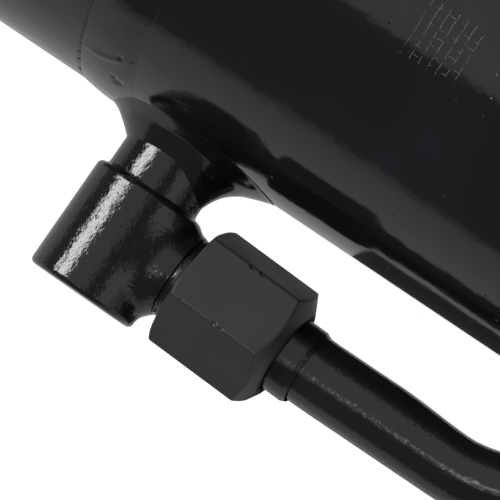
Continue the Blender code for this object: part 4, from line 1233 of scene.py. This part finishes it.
def build_rod_side():
    finish_piece(rod_eye(), "rod", "rod_eye", enamel("gloss_black_rod_eye", 1.3, 0.3))
    weld_x = ROD_EYE_X - 65.75 * MM
    toes = (weld_x - 5.2 * MM, weld_x + 5.2 * MM)
    weld = ring_weld("rod_girth_weld", *toes, ROD_R - 0.1 * MM, 1.6 * MM, 5.0, 2.0, 0.5)
    finish_piece(weld, "rod", "rod_eye_weld", enamel("gloss_black_rod_weld", 1.0))
    rod = returned("chromed_rod", "piston_rod", sides=ROUND, corner=0.6 * MM)
    finish_piece(shade(rod), "rod", "piston_rod", metal("hard_chrome_rod", CHROME, 0.07, "X", 0.5))
    piston = returned("turned_piston", "piston", sides=ROUND)
    finish_piece(shade(piston), "rod", "piston", metal("steel_piston", STEEL, 0.3))
    ring = returned("fine_piston_o_ring", "piston_o_ring", corner=1.6 * MM)
    finish_piece(shade(ring), "rod", "piston_o_ring", rubber("nitrile_piston_o_ring", NITRILE, 0.5))
    at_nut = Matrix.Translation((PISTON_NUT_X, 0.0, 0.0))
    nut = surface_of("chamfered_piston_nut", piston_nut_field, (-1, -37, -37), (29, 37, 37), 0.9, at_nut)
    finish_piece(nut, "rod", "piston_nut", metal("steel_piston_nut", STEEL, 0.34))
    at_screw = Matrix.Translation((PISTON_NUT_X + 13.0 * MM, 0.0, 0.0))
    screw = returned("fine_set_screw", "piston_nut_set_screw", (1.0, 0.0, 0.0), "Z", at_screw, 48)
    finish_piece(shade(screw), "rod", "piston_nut_set_screw", metal("steel_set_screw", STEEL, 0.35, "Z"))


def build_piston_seals():
    rings = (  # node, corner radius, material
        ("piston_seal", 0.5 * MM, rubber("filled_ptfe_piston_seal", FILLED_PTFE, 0.45)),
        ("piston_seal_energizer", 1.3 * MM, rubber("nitrile_energizer", NITRILE, 0.5)),
        ("piston_guide_ring_rear", 0.4 * MM, rubber("filled_ptfe_guide_rear", FILLED_PTFE, 0.5)),
        ("piston_guide_ring_front", 0.4 * MM, rubber("filled_ptfe_guide_front", FILLED_PTFE, 0.5)),
    )
    for node, corner, material in rings:
        ring = shade(returned("fine_" + node, node, sides=ROUND, corner=corner))
        finish_piece(ring, "piston_seals", node, material)


# ---------------------------------------------------------------- stage, light and camera


def emission(name, strength, diffuse=0.0):
    """A plain white glowing surface, partly diffuse."""
    glow = Surface(name, (diffuse, diffuse, diffuse), 0.9)
    glow.give("Specular IOR Level", 0.0)
    glow.give("Emission Color", (1.0, 1.0, 1.0, 1.0))
    glow.give("Emission Strength", strength)
    return glow.done()


def stage_sheet(name, corners, material):
    """A flat stage surface between four corners."""
    sheet = add_mesh(name, corners, [(0, 1, 2, 3)])
    sheet.data.materials.append(material)
    return sheet


def build_stage():
    """One pale floor for the camera, one for the reflections, a dark sheet below the tube as painted shadow
    in the reflections, and two walls.
    """
    reach = 16.0
    square = ((-reach, -reach), (reach, -reach), (reach, reach), (-reach, reach))
    low = cad_box[0].z - 0.2 * MM

    def level(name, outline, height, material):
        return stage_sheet(name, [(x, y, height) for x, y in outline], material)

    shown = level("floor", square, low, emission("pale_floor", 0.95, 0.35))
    shown.visible_diffuse = False
    shown.visible_glossy = False
    shown.visible_transmission = False
    mirrored = level("floor_in_reflections", square, low - 1.0 * MM, emission("floor_light", 0.42, 0.6))
    mirrored.visible_camera = False
    # Painted shadow: a dark sheet below the tube, seen only in reflections, stands in for the shade under
    # the tube and barrel.
    painted_shadow_outline = [(0.150, -0.113), (0.560, -0.113), (0.560, -0.062), (0.150, -0.062)]
    shade_below = level("shade_below_tube", painted_shadow_outline, low - 0.5 * MM, emission("shaded_floor", 0.03, 0.1))
    shade_below.visible_camera = False
    walls = (  # name, two ends of its foot, height, strength
        ("port_side_wall", (-6.0, -4.0), (6.0, -4.0), 0.22, 0.36),
        ("rod_end_wall", (4.0, -4.0), (4.0, 4.0), 1.3, 0.55),
    )
    for name, (x0, y0), (x1, y1), height, strength in walls:
        corners = [(x0, y0, low), (x1, y1, low), (x1, y1, low + height), (x0, y0, low + height)]
        wall = stage_sheet(name, corners, emission(name + "_light", strength))
        wall.visible_camera = False
        wall.visible_diffuse = False


def area_light(name, place, target, width, height, radiance):
    """A soft box at that place, facing the target, with that radiance."""
    lamp = bpy.data.lights.new(name, "AREA")
    lamp.shape = "RECTANGLE"
    lamp.size = width
    lamp.size_y = height
    lamp.energy = radiance * math.pi * width * height
    made = add_object(name, lamp)
    made.location = place
    made.rotation_mode = "QUATERNION"
    made.rotation_quaternion = (Vector(place) - Vector(target)).to_track_quat("Z", "Y")
    made.visible_camera = False


def build_lights():
    port = Vector((BASE_PORT_X, -BARREL_R - 20 * MM, 0.0))
    key_way = Vector((-0.70, 0.035, 0.71))
    area_light("key", port + 2.0 * key_way, port, 0.70, 0.8, 15.0)
    glint_way = Vector((-0.06, -0.30, 0.95))
    bend = Vector((0.21, -0.08, 0.0))
    area_light("top_glint", bend + 2.0 * glint_way, bend, 0.16, 0.12, 14.0)
    area_light("overhead", (-0.175, 0.38, 2.0), (-0.175, 0.38, 0.0), 1.65, 3.04, 0.55)
    rod_way = Vector((0.82, 0.0, 0.57))
    area_light("rod_side", port + 2.0 * rod_way, port, 1.6, 1.1, 0.75)
    world = bpy.data.worlds.new("dim_studio")
    bpy.context.scene.world = world
    world.use_nodes = True
    background = world.node_tree.nodes["Background"]
    background.inputs["Color"].default_value = (0.9, 0.94, 1.0, 1.0)
    background.inputs["Strength"].default_value = 0.15


def build_camera():
    """The photograph's view: from above the port side, with the barrel running down to the right."""
    turn = Matrix.Rotation(math.radians(10.09), 3, "Y") @ Matrix.Rotation(math.radians(2.01), 3, "X")
    turn = turn @ Matrix.Rotation(math.radians(34.2), 3, "Z")
    distance = 1.275
    target = Vector((BASE_PORT_X + 24.7 * MM, -68.0 * MM, 0.0))
    camera_data = bpy.data.cameras.new("camera")
    camera_data.lens = 432.0
    camera_data.sensor_width = 36.0
    camera_data.clip_start = 0.05
    camera_data.clip_end = 60.0
    place = Matrix.Translation(target + turn.col[2] * distance) @ turn.to_4x4()
    camera = add_object("camera", camera_data, place)
    bpy.context.scene.camera = camera
    bpy.context.scene.view_settings.view_transform = "Standard"


build_camera()
build_stage()
build_lights()
build_barrel()
build_ports()
build_transfer_line()
build_bulkhead()
build_clamp()
build_gland()
build_eye_fittings("base", 0.0, "barrel", math.radians(225.0))
build_eye_fittings("rod", ROD_EYE_X, "rod", math.radians(-45.0))
build_rod_side()
build_piston_seals()
